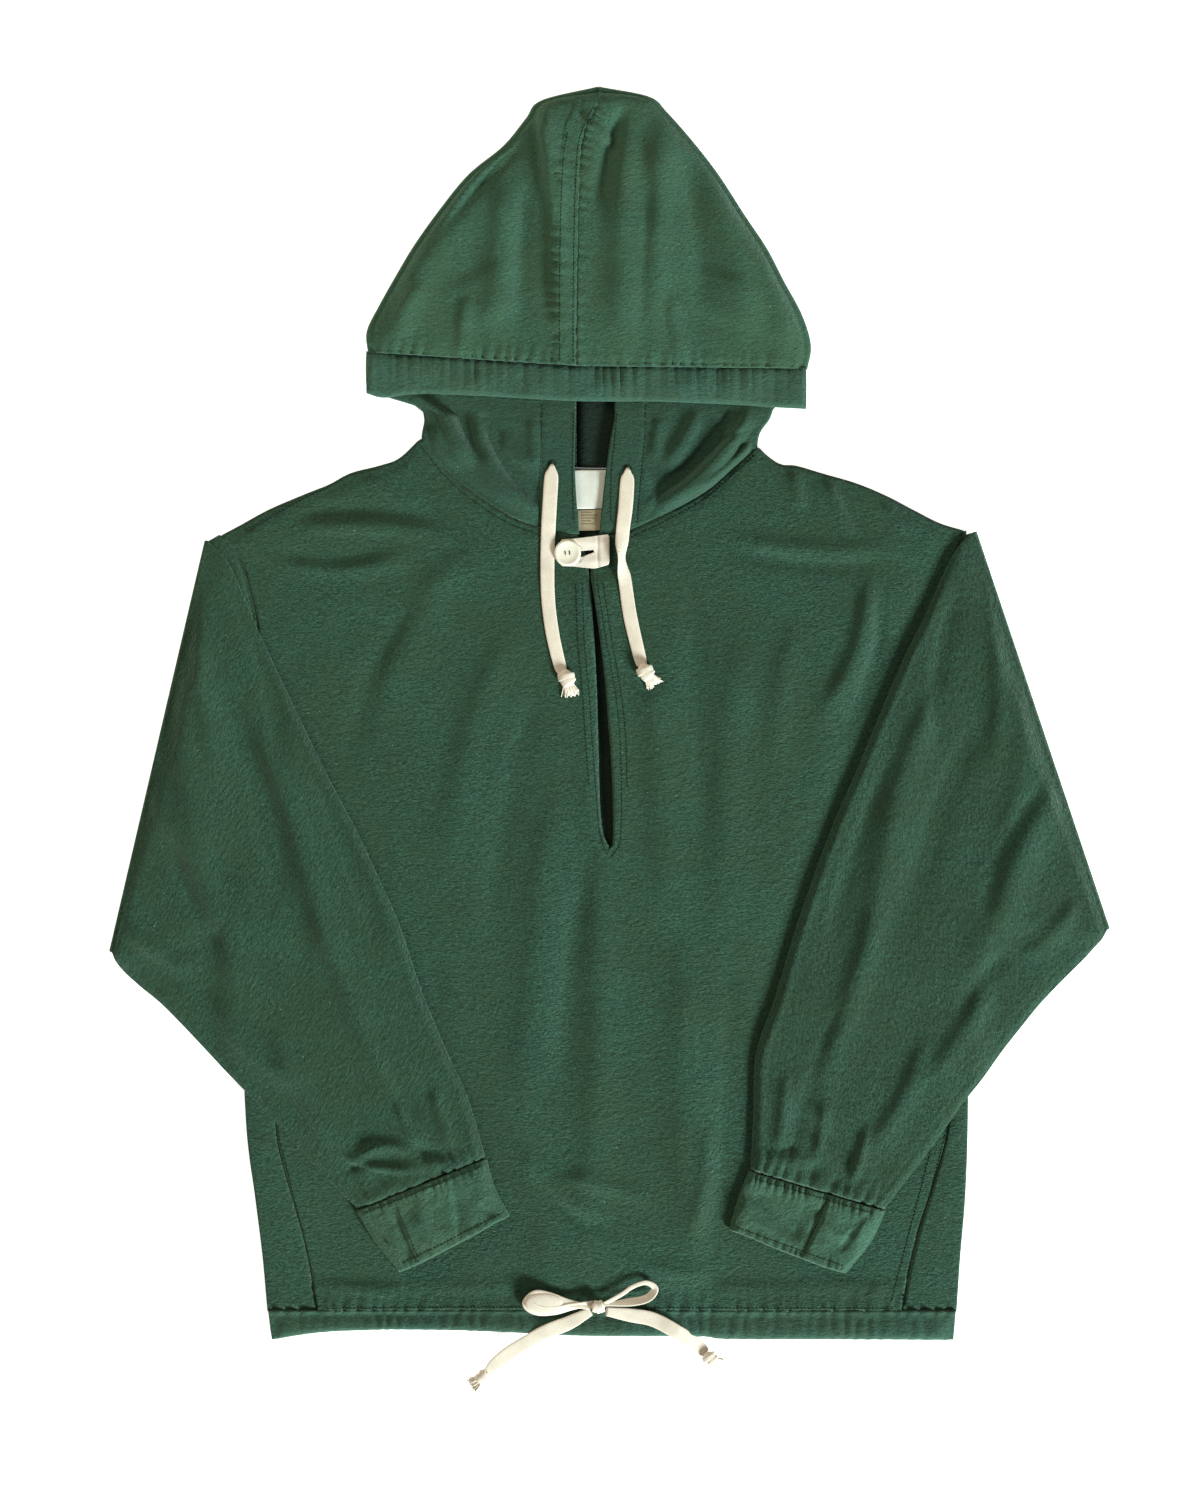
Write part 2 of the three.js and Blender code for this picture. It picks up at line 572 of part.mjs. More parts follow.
// Outline of what a turned sleeve lies on: the stub of the sleeve and the body beside it
function sleeveBed(side, sections) {
  const rows = bodySides.filter((row) => row.y < -140);
  const start = sections[0];
  const far = side === 'left' ? 400 : -400;
  return [
    { x: start.innerX, y: start.innerY },
    { x: start.outerX, y: start.outerY },
    ...[...rows].reverse().map((row) => ({ x: row[side], y: row.y })),
    { x: far, y: -502 },
    { x: far, y: start.innerY + 40 },
    { x: start.innerX, y: start.innerY + 40 },
  ];
}

// A sleeve: a flat tube from the armhole to a fold line, over that line, and down to the cuff seam
function sleeve(side) {
  const sections = side === 'left' ? leftSections : rightSections;
  const inward = side === 'left' ? 1 : -1;
  const bed = sleeveBed(side, sections);
  const start = sections[0];
  const foldFrom = new THREE.Vector2(start.innerX, start.innerY);
  const foldTo = new THREE.Vector2(start.outerX, start.outerY);
  const along = new THREE.Vector2().subVectors(foldTo, foldFrom).normalize();
  const outward = new THREE.Vector3(along.y * inward, -along.x * inward, 0);
  const armTop = 142;
  const armLow = -149;
  const turnHeight = 2 * sleeveHalf + gap / 2;
  const stubRings = 2;
  const turnRings = 4;
  const lengthRings = 14;
  const strips = 8;
  const steps = strips * 2 + 4;
  const fromTurn = (angle, out) => {
    const away = outward.clone().multiplyScalar(Math.sin(angle));
    away.z = -Math.cos(angle);
    return away.multiplyScalar(out);
  };
  return openTube(stubRings + turnRings + lengthRings, steps, (ring, step, face) => {
    const half = face === 1 ? sleeveHalf : gap / 2;
    const inset = face === 1 ? 0 : cloth;
    let s;
    let level;
    let beyond = 0;
    if (step <= strips) {
      s = step / strips;
      level = 1;
    } else if (step === strips + 1) {
      s = 1;
      level = 0;
      beyond = 0.9;
    } else if (step <= 2 * strips + 2) {
      s = 1 - (step - strips - 2) / strips;
      level = -1;
    } else {
      s = 0;
      level = 0;
      beyond = -0.9;
    }
    const line = (a, b) => {
      const run = new THREE.Vector2().subVectors(b, a);
      const long = run.length();
      const t = THREE.MathUtils.clamp(s, inset / long, 1 - inset / long) + (beyond * (face === 1 ? 1 : 0.4)) / long;
      return new THREE.Vector2().addVectors(a, run.multiplyScalar(t));
    };
    if (ring < stubRings) {
      const t = ring / stubRings;
      const y = lerp(armTop - inset, armLow + inset, s);
      const seam = new THREE.Vector2(backSides(y, side) - inward * curvedGap, y - beyond);
      const place = seam.lerp(line(foldFrom, foldTo), t);
      return new THREE.Vector3(place.x, place.y, sleeveHalf - level * half);
    }
    if (ring < stubRings + turnRings) {
      const angle = ((ring - stubRings) / turnRings) * Math.PI;
      const place = line(foldFrom, foldTo);
      const offset = fromTurn(angle, turnHeight / 2 + level * half);
      return new THREE.Vector3(place.x + offset.x, place.y + offset.y, turnHeight + offset.z);
    }
    const t = (ring - stubRings - turnRings) / lengthRings;
    const row = section(sections, t);
    const from = new THREE.Vector2(row.innerX, row.innerY);
    const to = new THREE.Vector2(row.outerX, row.outerY);
    const place = line(from, to);
    const off = outside(bed, place.x, place.y);
    const floor = sleeveFloor * (1 - ease(off, 24, 52));
    const edge = Math.min(s, 1 - s);
    const free = ease(edge, 0, 0.12) * ease(t, 0, 0.06) * (1 - 0.6 * ease(t, 0.97, 1));
    const rise = level > 0 ? free * (0.8 + foldHeight(sleeveFolds[side], place.x, place.y)) : 0;
    return new THREE.Vector3(place.x, place.y, floor + sleeveHalf + level * half + rise);
  });
}

// A cuff: a flat ring of doubled cloth
function cuff(side) {
  const wall = 2;
  const half = wall + gap / 2;
  const across = 8;
  const rings = 4;
  const steps = across * 2 + 4;
  return openTube(rings, steps, (ring, step, face) => {
    const row = section(cuffs[side], ring / rings);
    const from = new THREE.Vector2(row.innerX, row.innerY);
    const to = new THREE.Vector2(row.outerX, row.outerY);
    const long = from.distanceTo(to);
    const inset = face === 1 ? 0 : wall;
    const rim = ring === 0 || ring === rings ? 0.75 : 1;
    const high = face === 1 ? half * rim : gap / 2;
    const bow = (t) => 0.4 * Math.sin(t * 19) * (face === 1 ? 1 : 0);
    let t;
    let level;
    if (step <= across) {
      t = step / across;
      level = 1;
    } else if (step === across + 1) {
      t = 1 + (1.4 / long) * (face === 1 ? 1 : 0.3);
      level = 0;
    } else if (step <= 2 * across + 2) {
      t = 1 - (step - across - 2) / across;
      level = -1;
    } else {
      t = -(1.4 / long) * (face === 1 ? 1 : 0.3);
      level = 0;
    }
    const inner = level === 0 ? t * (1 - 2 * (inset / long)) + inset / long : THREE.MathUtils.clamp(t, inset / long, 1 - inset / long);
    const place = from.clone().lerp(to, face === 1 ? t : inner);
    return new THREE.Vector3(place.x, place.y, sleeveFloor + half + level * high + Math.max(0, level) * bow(t));
  });
}

// Height of the hood's top layer above the surface, at its underside
function hoodFloor(x, y) {
  return 2 * layer + 0.6 + foldHeight(hoodFolds, x, y);
}

// Half a hood: back layer, turn at the outline and top layer, with the lower part behind the bands
function hood(side) {
  const left = side === 'left';
  const seamGap = left ? -gap / 2 : gap / 2;
  const outerX = left ? 'leftX' : 'rightX';
  const outerY = left ? 'leftY' : 'rightY';
  const flat = 6;
  const bend = 3;
  const parts = flat * 2 + bend;
  const upper = sheet(parts, 14, (u, v, face) => {
    const row = section(hoodRows, v);
    const seam = new THREE.Vector2(row.seamX + seamGap, row.seamY);
    const rim = new THREE.Vector2(row[outerX], row[outerY]);
    const run = new THREE.Vector2().subVectors(rim, seam);
    const unit = run.clone().normalize();
    const step = u * parts;
    const under = face === 1 ? 0 : cloth;
    const rise = (at) => {
      const near = 1 - ease(at, 0.78, 1);
      const place = seam.clone().addScaledVector(run, at);
      return lerp(2 * layer, hoodFloor(place.x, place.y), near) + cloth;
    };
    const backset = 3;
    const inner = run.length() - backset;
    if (step <= flat) {
      const place = seam.clone().addScaledVector(unit, (inner * step) / flat);
      return new THREE.Vector3(place.x, place.y, under);
    }
    const top = 2 * layer + cloth;
    const middle = top / 2;
    const radius = middle - under;
    if (step < flat + bend) {
      const turn = ((step - flat) / bend) * Math.PI;
      const place = seam.clone().addScaledVector(unit, inner + (backset - under) * Math.sin(turn));
      return new THREE.Vector3(place.x, place.y, middle - radius * Math.cos(turn));
    }
    const back = (parts - step) / flat;
    const place = seam.clone().addScaledVector(unit, inner * back);
    return new THREE.Vector3(place.x, place.y, rise((inner * back) / run.length()) - under);
  });
  return joined(upper, hoodNeck(side));
}

// Lower part of a hood half: its back at the back neckline, its front with the band at the slit
function hoodNeck(side) {
  const left = side === 'left';
  const sideColumn = left ? 'side' : 'rightSide';
  const bandColumn = left ? 'band' : 'rightBand';
  const outward = left ? -1 : 1;
  const centre = -26.5 + (left ? -gap / 2 : gap / 2);
  const flat = 4;
  const bend = 3;
  const front = 10;
  const parts = flat + bend + front;
  return sheet(parts, 8, (u, v, face) => {
    const step = u * parts;
    const onFront = step >= flat + bend;
    const onBack = step <= flat;
    const low = (x) => (onFront ? shoulderOrNeck(x) + 1.7 * curvedGap : shoulderOrBackNeck(x) + 2 * curvedGap);
    const across = (y) => {
      const edge = read(neckRows, 'y', y, sideColumn) - outward * 2.4;
      if (onBack) return lerp(centre, edge, step / flat);
      if (onFront) return lerp(edge, read(neckRows, 'y', y, bandColumn), (step - flat - bend) / front);
      return edge;
    };
    let x = across(230);
    let y = 0;
    for (let round = 0; round < 30; round += 1) {
      y = lerp(low(x), neckTop, v);
      x = (x + across(y)) / 2;
    }
    const middle = cloth + gap / 2;
    const radius = face === 1 ? cloth + gap / 2 : gap / 2;
    if (onBack) return new THREE.Vector3(x, y, middle - radius);
    if (onFront) {
      const shown = (1 - ease(y, 214, 232)) * ease(Math.abs(x - read(neckRows, 'y', y, sideColumn)), 3, 14);
      const rise = shown * foldHeight(neckFolds, x, y) * ease(y, low(x) + 1, low(x) + 12);
      return new THREE.Vector3(x, y, middle + radius + rise);
    }
    const turn = ((step - flat) / bend) * Math.PI;
    return new THREE.Vector3(x + outward * radius * 1.7 * Math.sin(turn), y, middle - radius * Math.cos(turn));
  });
}

// Stitched hem of the hood, with its puckers
function hoodHem() {
  const puckers = 17;
  return sheet(56, 3, (u, v, face) => {
    const x = lerp(-191, 155, u);
    const y = lerp(read(hemRows, 'x', x, 'edge'), read(hemRows, 'x', x, 'stitch') - gap, v);
    const swell = Math.sin(Math.PI * (0.12 + 0.76 * v));
    const ripple = 0.5 + 0.5 * Math.sin(u * puckers * 2 * Math.PI + 1.2 * Math.sin(u * 21));
    const high = 1.5 + 1.3 * swell + 0.9 * ripple * swell;
    return new THREE.Vector3(x, y, 2 * layer + 0.2 + face * high);
  });
}

// Flat tape along a route, lying on whatever is under it
function tape(route, heightAt, steps) {
  const rings = [];
  for (let step = 0; step <= steps; step += 1) {
    const t = step / steps;
    const here = section(route, t);
    const ahead = section(route, Math.min(1, t + 0.01));
    const behind = section(route, Math.max(0, t - 0.01));
    const side = new THREE.Vector2(behind.y - ahead.y, ahead.x - behind.x).normalize();
    const half = (here.wide * ribbonWide) / 2;
    const floor = heightAt(here.x, here.y, side, half);
    const outline = [[-1, 0.25], [-0.9, 0], [0.9, 0], [1, 0.25], [1, 0.75], [0.9, 1], [-0.9, 1], [-1, 0.75]];
    rings.push(outline.map(([across, up]) => new THREE.Vector3(
      here.x + side.x * across * half,
      here.y + side.y * across * half,
      floor + up * ribbonThick,
    )));
  }
  return loft3(rings);
}

const restOnFront = (x, y, side, half) => {
  const places = [-1, -0.5, 0, 0.5, 1].map((k) => ({ x: x + side.x * half * k, y: y + side.y * half * k }));
  const heights = places.map((p) => {
    const onHood = p.y > shoulderOrNeck(p.x) - 3;
    return onHood ? 2 * layer - gap + 0.6 * foldHeight(neckFolds, p.x, p.y) : frontHeight(p.x, p.y);
  });
  return Math.max(...heights) + 0.6;
};
const restOnHem = (x, y) => lerp(0.4, frontTop + 3.4, ease(y, -518, -500));

// A knot: a rounded lump, flatter below, a little uneven
function knot({ x, y, radius }, floor) {
  const geometry = new THREE.SphereGeometry(radius, 12, 8);
  const spots = geometry.attributes.position;
  for (let index = 0; index < spots.count; index += 1) {
    const p = new THREE.Vector3().fromBufferAttribute(spots, index);
    const turn = Math.atan2(p.y, p.x);
    const swell = 1 + 0.06 * Math.sin(3 * turn) * Math.cos(p.z / radius);
    spots.setXYZ(index, p.x * swell, p.y * swell, Math.max(p.z * 0.62, -radius * 0.5));
  }
  geometry.translate(x, y, floor + radius * 0.5);
  return mergedOnly(geometry);
}

function mergedOnly(geometry) {
  geometry.deleteAttribute('normal');
  geometry.deleteAttribute('uv');
  const merged = mergeVertices(geometry, 1e-4);
  merged.computeVertexNormals();
  return merged;
}

// Four-hole button with a rim
function buttonDisc(floor) {
  const { radius, thick, hole, spread } = button;
  const outline = Array.from({ length: 28 }, (_, index) => {
    const turn = (index / 28) * 2 * Math.PI;
    return new THREE.Vector2(radius * Math.cos(turn), radius * Math.sin(turn));
  });
  const holes = [[-1, -1], [1, -1], [1, 1], [-1, 1]].map(([i, j]) => Array.from({ length: 8 }, (_, index) => {
    const turn = (index / 8) * 2 * Math.PI;
    return new THREE.Vector2(i * spread + hole * Math.cos(turn), j * spread + hole * Math.sin(turn));
  }));
  const disc = slab(outline, 0, thick, holes);
  disc.translate(button.x, button.y, floor);
  return mergedOnly(disc);
}

// Tape loop that the button closes: two legs with a narrow wedge between them
function tabLoop(floor) {
  const outline = [[-42.4, 128], [-38, 139], [-29, 139.5], [-12, 141.6], [-1.2, 143], [0, 140], [0, 121],
    [-1, 118.6], [-12, 115.6], [-30, 117.4], [-38, 117.6]].map(([x, y]) => new THREE.Vector2(x, y));
  const wedge = [[-38, 131], [-22.6, 130], [-12, 130.4], [-22.6, 126], [-38, 125.6]];
  return mergedOnly(slab(outline, floor, floor + ribbonThick, [wedge.map(([x, y]) => new THREE.Vector2(x, y))]));
}

// Bow at the hem: a knot and two loops of the hem tape
function bowLoop(side, floor) {
  const outlines = {
    left: {
      rim: [[-12, -469], [-32, -465], [-46, -460.5], [-58, -459], [-66, -464], [-70, -471],
        [-66, -478], [-56, -482], [-42, -481.5], [-30, -478.6], [-12, -475]],
      eye: [[-30, -470.4], [-48, -467.2], [-58, -469], [-48, -472.4]],
    },
    right: {
      rim: [[-6, -468], [8, -460], [17, -453.6], [28, -450], [37, -453], [40, -459.4], [36, -467],
        [28, -471.4], [14, -473.4], [-6, -475]],
      eye: [[12, -465.4], [19, -459], [28, -456.4], [32, -460], [26, -465], [16, -467.4]],
    },
  };
  const { rim, eye } = outlines[side];
  const toPoints = (list) => list.map(([x, y]) => new THREE.Vector2(x, y));
  return mergedOnly(slab(toPoints(rim), floor, floor + 2.6, [toPoints(eye)]));
}

function bowKnotLump(floor) {
  const lump = new THREE.SphereGeometry(1, 14, 8);
  lump.scale(bowKnot.long, bowKnot.wide, bowKnot.high);
  lump.translate(bowKnot.x, bowKnot.y, floor + bowKnot.high);
  return mergedOnly(lump);
}

// Labels inside the back neck, both bare
const labelFloor = cloth + gap;
const labelShape = [[-26.2, 195], [-4.4, 195], [-4.4, 163.5], [-26.2, 163.5]];
const sizeShape = [[-25, 163.2], [-6, 163.2], [-7, 148], [-24, 148]];
const flatPiece = (list, from, to) => mergedOnly(slab(list.map(([x, y]) => new THREE.Vector2(x, y)), from, to));

// The garment
const smock = new THREE.Group();
function add(name, geometry, material) {
  const mesh = new THREE.Mesh(geometry, material);
  mesh.name = name;
  smock.add(mesh);
}

add('body_back', backPanel(), cotton());
add('body_front', frontPanel(), cotton());
add('hem_casing', hemCasing(), hemCotton());
add('sleeve_left', sleeve('left'), cotton());
add('sleeve_right', sleeve('right'), cotton());
add('cuff_left', cuff('left'), hemCotton());
add('cuff_right', cuff('right'), hemCotton());
add('hood_left', hood('left'), cotton());
add('hood_right', hood('right'), cotton());
add('hood_hem', hoodHem(), hemCotton());
add('neck_label', flatPiece(labelShape, labelFloor, labelFloor + 0.8), finish(labelColour, 0.8));
add('size_label', flatPiece(sizeShape, labelFloor, labelFloor + 0.8), finish(labelColour, 0.85));

const tabFloor = Math.max(...[-40, -30, -20, -10, 0].map((x) => frontHeight(x, 140)), frontHeight(-30, 118)) + 0.6;
add('tab_loop', tabLoop(tabFloor), tapeCotton());
add('button', buttonDisc(tabFloor + ribbonThick + gap), finish(buttonColour, 0.35));

// A tape that ends in a knot, each in a node of its own
function tapeWithKnot(name, route, heightAt, spot, floor) {
  const lump = knot(spot, floor);
  const middle = { x: spot.x, y: spot.y, z: floor + spot.radius * 0.5 };
  let strip = clearOf(tape(route, heightAt, 12), lump, middle);
  if (name.startsWith('bow')) strip = clearOf(strip, bowLump, bowMiddle);
  add(name, strip, tapeCotton());
  add(`${name}_knot`, lump, tapeCotton());
}

const bowFloor = frontTop + 3.6;
const bowLump = bowKnotLump(bowFloor);
const bowMiddle = { x: bowKnot.x, y: bowKnot.y, z: bowFloor + bowKnot.high };
add('bow_knot', bowLump, tapeCotton());
for (const side of ['left', 'right']) {
  add(`bow_loop_${side}`, clearOf(bowLoop(side, bowFloor + layer), bowLump, bowMiddle), tapeCotton());
  const spot = knots[side].drawcord;
  tapeWithKnot(`drawcord_${side}`, drawcordRoutes[side], restOnFront, spot, frontHeight(spot.x, spot.y) + 0.5);
  tapeWithKnot(`bow_tail_${side}`, tailRoutes[side], restOnHem, knots[side].tail, 0.2);
}

// The origin is on the surface, under the middle of the garment without its free tapes
const cloths = smock.children.filter((mesh) => !/drawcord|tail/.test(mesh.name));
const bounds = new THREE.Box3();
for (const mesh of cloths) bounds.expandByObject(mesh);
const middle = bounds.getCenter(new THREE.Vector3());
smock.position.set(-middle.x, -middle.y, 0);

export default smock;
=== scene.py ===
# %% [markdown]
# The garment is a hooded pullover smock of brushed cotton. It lies flat on a pale table, seen from straight above.
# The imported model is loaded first. It holds the size and the place of every panel, and it stays as it is.
# Everything made here is cloth, tape, thread and finish, and it is fitted round that model.

# %% Load the frame
import math
import bmesh
import bpy
import numpy as np
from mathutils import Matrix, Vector
from mathutils.bvhtree import BVHTree
from mathutils.geometry import tessellate_polygon


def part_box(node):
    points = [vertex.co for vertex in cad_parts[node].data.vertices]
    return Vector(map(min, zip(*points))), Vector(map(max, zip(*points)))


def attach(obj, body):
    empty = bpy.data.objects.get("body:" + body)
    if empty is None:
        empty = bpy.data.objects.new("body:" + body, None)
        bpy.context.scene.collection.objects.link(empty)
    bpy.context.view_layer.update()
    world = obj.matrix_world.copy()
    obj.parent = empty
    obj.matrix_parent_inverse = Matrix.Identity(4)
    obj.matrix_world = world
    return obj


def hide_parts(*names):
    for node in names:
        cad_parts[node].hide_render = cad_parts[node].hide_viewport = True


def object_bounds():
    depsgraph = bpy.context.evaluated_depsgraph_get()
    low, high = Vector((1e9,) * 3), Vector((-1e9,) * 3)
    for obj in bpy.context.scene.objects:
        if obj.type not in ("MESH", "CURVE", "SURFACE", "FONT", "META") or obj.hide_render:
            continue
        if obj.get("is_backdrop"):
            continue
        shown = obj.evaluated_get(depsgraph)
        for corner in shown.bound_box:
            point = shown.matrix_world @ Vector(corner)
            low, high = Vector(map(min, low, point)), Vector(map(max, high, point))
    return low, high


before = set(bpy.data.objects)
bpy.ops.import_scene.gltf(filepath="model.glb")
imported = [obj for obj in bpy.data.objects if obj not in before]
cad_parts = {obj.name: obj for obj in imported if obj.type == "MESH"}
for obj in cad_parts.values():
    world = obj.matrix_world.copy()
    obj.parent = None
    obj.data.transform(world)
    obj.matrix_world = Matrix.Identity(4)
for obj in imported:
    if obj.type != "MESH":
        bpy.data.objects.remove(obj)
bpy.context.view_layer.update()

# %% [markdown]
# All sizes below are in millimetres of the laid garment, because a pattern cutter thinks in them.
# The model's origin is under the middle of the cloth, so one shift carries every place over.
# The bare neck label tells that shift: its middle is known in both.

# %% Garment millimetres to scene metres
LABEL_MIDDLE = (-15.3, 179.25)
label_low, label_high = (np.array(corner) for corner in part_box("neck_label"))
SHIFT = (label_low + label_high)[:2] / 2 - np.array(LABEL_MIDDLE) / 1000


def metres(x, y, z):
    """Turn garment millimetres into scene metres."""
    spread = np.broadcast_arrays(x, y, z)
    found = np.stack([np.asarray(part, float) for part in spread], axis=-1) / 1000
    found[..., 0] += SHIFT[0]
    found[..., 1] += SHIFT[1]
    return found


print("shift in millimetres:", (SHIFT * 1000).round(3))

# %% [markdown]
# The photograph looks straight down. A long lens held well above the table keeps the outline free of perspective.
# The frame is 1200 by 1500 pixels at 0.8 mm a pixel, so the view is 1.2 m high where the cloth lies.

# %% Camera
PIXEL = 0.8
VIEW_HIGH = 1500 * PIXEL / 1000
VIEW_CENTRE = (-7.6, -29.2)
CAMERA_HIGH = 2.6
SENSOR = 36

lens = bpy.data.cameras.new("camera")
lens.sensor_width = SENSOR
lens.lens = SENSOR * CAMERA_HIGH / VIEW_HIGH
camera = bpy.data.objects.new("camera", lens)
camera.location = metres(*VIEW_CENTRE, 0) + np.array([0, 0, CAMERA_HIGH])
bpy.context.collection.objects.link(camera)
bpy.context.scene.camera = camera
print("lens", round(lens.lens, 1), "mm")

# %% [markdown]
# Cloth needs a few tools that come back for every panel.
# A table of rows is read as a smooth line, so a curve is given by a handful of places a hand can measure.
# A fold is a soft ridge or trough along a slightly bent line. One flank is steep and one runs out gently,
# because a real crease leans. Slow uneven ripples come from a small field of seeded numbers.

# %% Lines and fields
def smooth_line(rows, parts=12):
    """A Catmull-Rom line through rows of numbers."""
    rows = np.asarray(rows, float)
    padded = np.vstack([2 * rows[0] - rows[1], rows, 2 * rows[-1] - rows[-2]])
    t = np.linspace(0, 1, parts, endpoint=False)[:, None]
    found = []
    for a, b, c, d in zip(padded, padded[1:], padded[2:], padded[3:]):
        found.append(0.5 * (2 * b + (c - a) * t + (2 * a - 5 * b + 4 * c - d) * t**2 + (3 * b - a - 3 * c + d) * t**3))
    return np.vstack(found + [rows[-1:]])


def ease(value, low, high):
    """Zero below low, one above high, and smooth between."""
    t = np.clip((value - low) / (high - low), 0, 1)
    return t * t * (3 - 2 * t)


def mix(a, b, t):
    return a + (b - a) * t


def at_row(rows, t):
    """Every column of a table at t from 0 to 1 along it, smoothly."""
    line = smooth_line(rows, 16)
    place = np.asarray(t, float) * (len(line) - 1)
    index = np.arange(len(line))
    return [np.interp(place, index, line[:, column]) for column in range(line.shape[1])]


def column_at(rows, key, wanted, value):
    """One column of a table where its key column has the value wanted."""
    line = smooth_line(rows, 10)
    order = np.argsort(line[:, key], kind="stable")
    return np.interp(wanted, line[order, key], line[order, value])


def ripple(x, y, size, seed, stretch=1.0):
    """A smooth uneven field from -1 to 1 whose waves are about size millimetres long."""
    cells = 64
    lattice = np.random.default_rng(seed).uniform(-1, 1, (cells, cells))
    u = np.asarray(x) / (size * stretch) + 500.37
    v = np.asarray(y) / size + 500.71
    i = np.floor(u).astype(int)
    j = np.floor(v).astype(int)
    s = u - i
    t = v - j
    s = s * s * (3 - 2 * s)
    t = t * t * (3 - 2 * t)
    low = mix(lattice[j % cells, i % cells], lattice[j % cells, (i + 1) % cells], s)
    high = mix(lattice[(j + 1) % cells, i % cells], lattice[(j + 1) % cells, (i + 1) % cells], s)
    return mix(low, high, t)


def nearest_on(line, x, y):
    """Distance to a line of points, the side it is on, and how far along it the nearest place is."""
    line = np.asarray(line, float)
    best = np.full(np.shape(x), 1e9)
    side = np.zeros(np.shape(x))
    along = np.zeros(np.shape(x))
    run = 0.0
    for (ax, ay), (bx, by) in zip(line[:, :2], line[1:, :2]):
        dx, dy = bx - ax, by - ay
        length = math.hypot(dx, dy)
        t = np.clip(((x - ax) * dx + (y - ay) * dy) / length**2, 0, 1)
        away = np.hypot(x - ax - t * dx, y - ay - t * dy)
        closer = away < best
        best = np.where(closer, away, best)
        side = np.where(closer, np.sign((x - ax) * dy - (y - ay) * dx), side)
        along = np.where(closer, run + t * length, along)
        run += length
    return best, side, along


def fold_height(folds, x, y):
    """Sum of soft folds. A row holds from x, y to x, y, bow, width of its right and left flank, and height."""
    total = np.zeros(np.broadcast(x, y).shape)
    for from_x, from_y, to_x, to_y, bow, right, left, high in folds:
        dx, dy = to_x - from_x, to_y - from_y
        length = math.hypot(dx, dy)
        t = ((x - from_x) * dx + (y - from_y) * dy) / length**2
        across = ((x - from_x) * dy - (y - from_y) * dx) / length - 4 * bow * t * (1 - t)
        across = across + 1.5 * ripple(x, y, 40, 3)
        width = np.where(across > 0, right, left) * (0.8 + 0.35 * np.clip(t, 0, 1))
        ends = ease(t, -0.12, 0.22) * (1 - ease(t, 0.72, 1.12))
        total += high * np.exp(-((across / width) ** 2)) * ends
    return total


def gathers(along, away, wave, seed):
    """Uneven gathers from -1 to 1: rounded ridges with narrower dips between, that slant a little."""
    drift = 0.9 * ripple(along, 0 * along + seed * 31.0, wave * 2.7, seed) + 0.35 * ripple(along, 0.3 * away, wave * 1.1, seed + 1)
    lean = 0.22 * away / wave * ripple(along, 0 * along, wave * 5, seed + 2)
    force = 0.62 + 0.38 * ripple(along, 0 * along + 9.0, wave * 2.2, seed + 3)
    return (2 * np.abs(np.sin(math.pi * (along / wave + drift + lean))) - 1) * force


def puckers(line, x, y, wave, reach, depth, seed, sides=0):
    """Little gathers that run across a row of stitches and die away from it."""
    away, side, along = nearest_on(line, x, y)
    only = 1 if sides == 0 else (side * sides > 0)
    return depth * gathers(along, away, wave, seed) * np.exp(-((away / reach) ** 2)) * only


# %% [markdown]
# A panel is a grid of points. Its faces are joined into one open surface, and the Solidify modifier gives it
# the thickness of the cloth, with a rim all round. A sleeve is the same grid closed into a tube.

# %% Surfaces and shells
CLOTH = 1.2
GAP = 0.3
LAYER = CLOTH + GAP
TOP = LAYER + CLOTH


def new_object(name, points, faces, smooth=True):
    mesh = bpy.data.meshes.new(name)
    mesh.from_pydata([tuple(p) for p in points], [], faces)
    mesh.validate()
    mesh.polygons.foreach_set("use_smooth", [smooth] * len(mesh.polygons))
    piece = bpy.data.objects.new(name, mesh)
    bpy.context.collection.objects.link(piece)
    return piece


def grid_faces(rows, columns, wrap=False, first=0):
    """Quads between rows of points, with the last column joined to the first where the grid wraps."""
    faces = []
    across = columns if wrap else columns - 1
    for j in range(rows - 1):
        low = first + j * columns
        for i in range(across):
            k = (i + 1) % columns
            faces.append((low + i, low + k, low + columns + k, low + columns + i))
    return faces


def merge_doubles(piece, distance=1e-6):
    work = bmesh.new()
    work.from_mesh(piece.data)
    bmesh.ops.remove_doubles(work, verts=work.verts, dist=distance)
    work.to_mesh(piece.data)
    work.free()


def shell(name, grids, thickness=CLOTH, wrap=False, flip=False, merge=False):
    """One piece of cloth from one or more grids of garment millimetres, rows by columns by xyz."""
    points, faces = [], []
    for grid in grids:
        rows, columns = grid.shape[:2]
        faces += grid_faces(rows, columns, wrap, len(points))
        points += list(metres(grid[..., 0], grid[..., 1], grid[..., 2]).reshape(-1, 3))
    if flip:
        faces = [face[::-1] for face in faces]
    piece = new_object(name, points, faces)
    if merge:
        merge_doubles(piece)
    wall = piece.modifiers.new("cloth", "SOLIDIFY")
    wall.thickness = thickness / 1000
    wall.offset = -1
    return piece


def grid_of(x, y, z):
    return np.stack(np.broadcast_arrays(x, y, z), axis=-1)


def apply_modifiers(piece):
    """Turn what the modifiers make into the piece's own mesh."""
    seen = piece.evaluated_get(bpy.context.evaluated_depsgraph_get())
    mesh = bpy.data.meshes.new_from_object(seen)
    piece.modifiers.clear()
    old = piece.data
    piece.data = mesh
    bpy.data.meshes.remove(old)


def joined(name, parts):
    """Many small meshes, each a list of points and faces, as one piece."""
    points, faces = [], []
    for some_points, some_faces in parts:
        first = len(points)
        points += list(some_points)
        faces += [tuple(first + k for k in face) for face in some_faces]
    return new_object(name, points, faces)


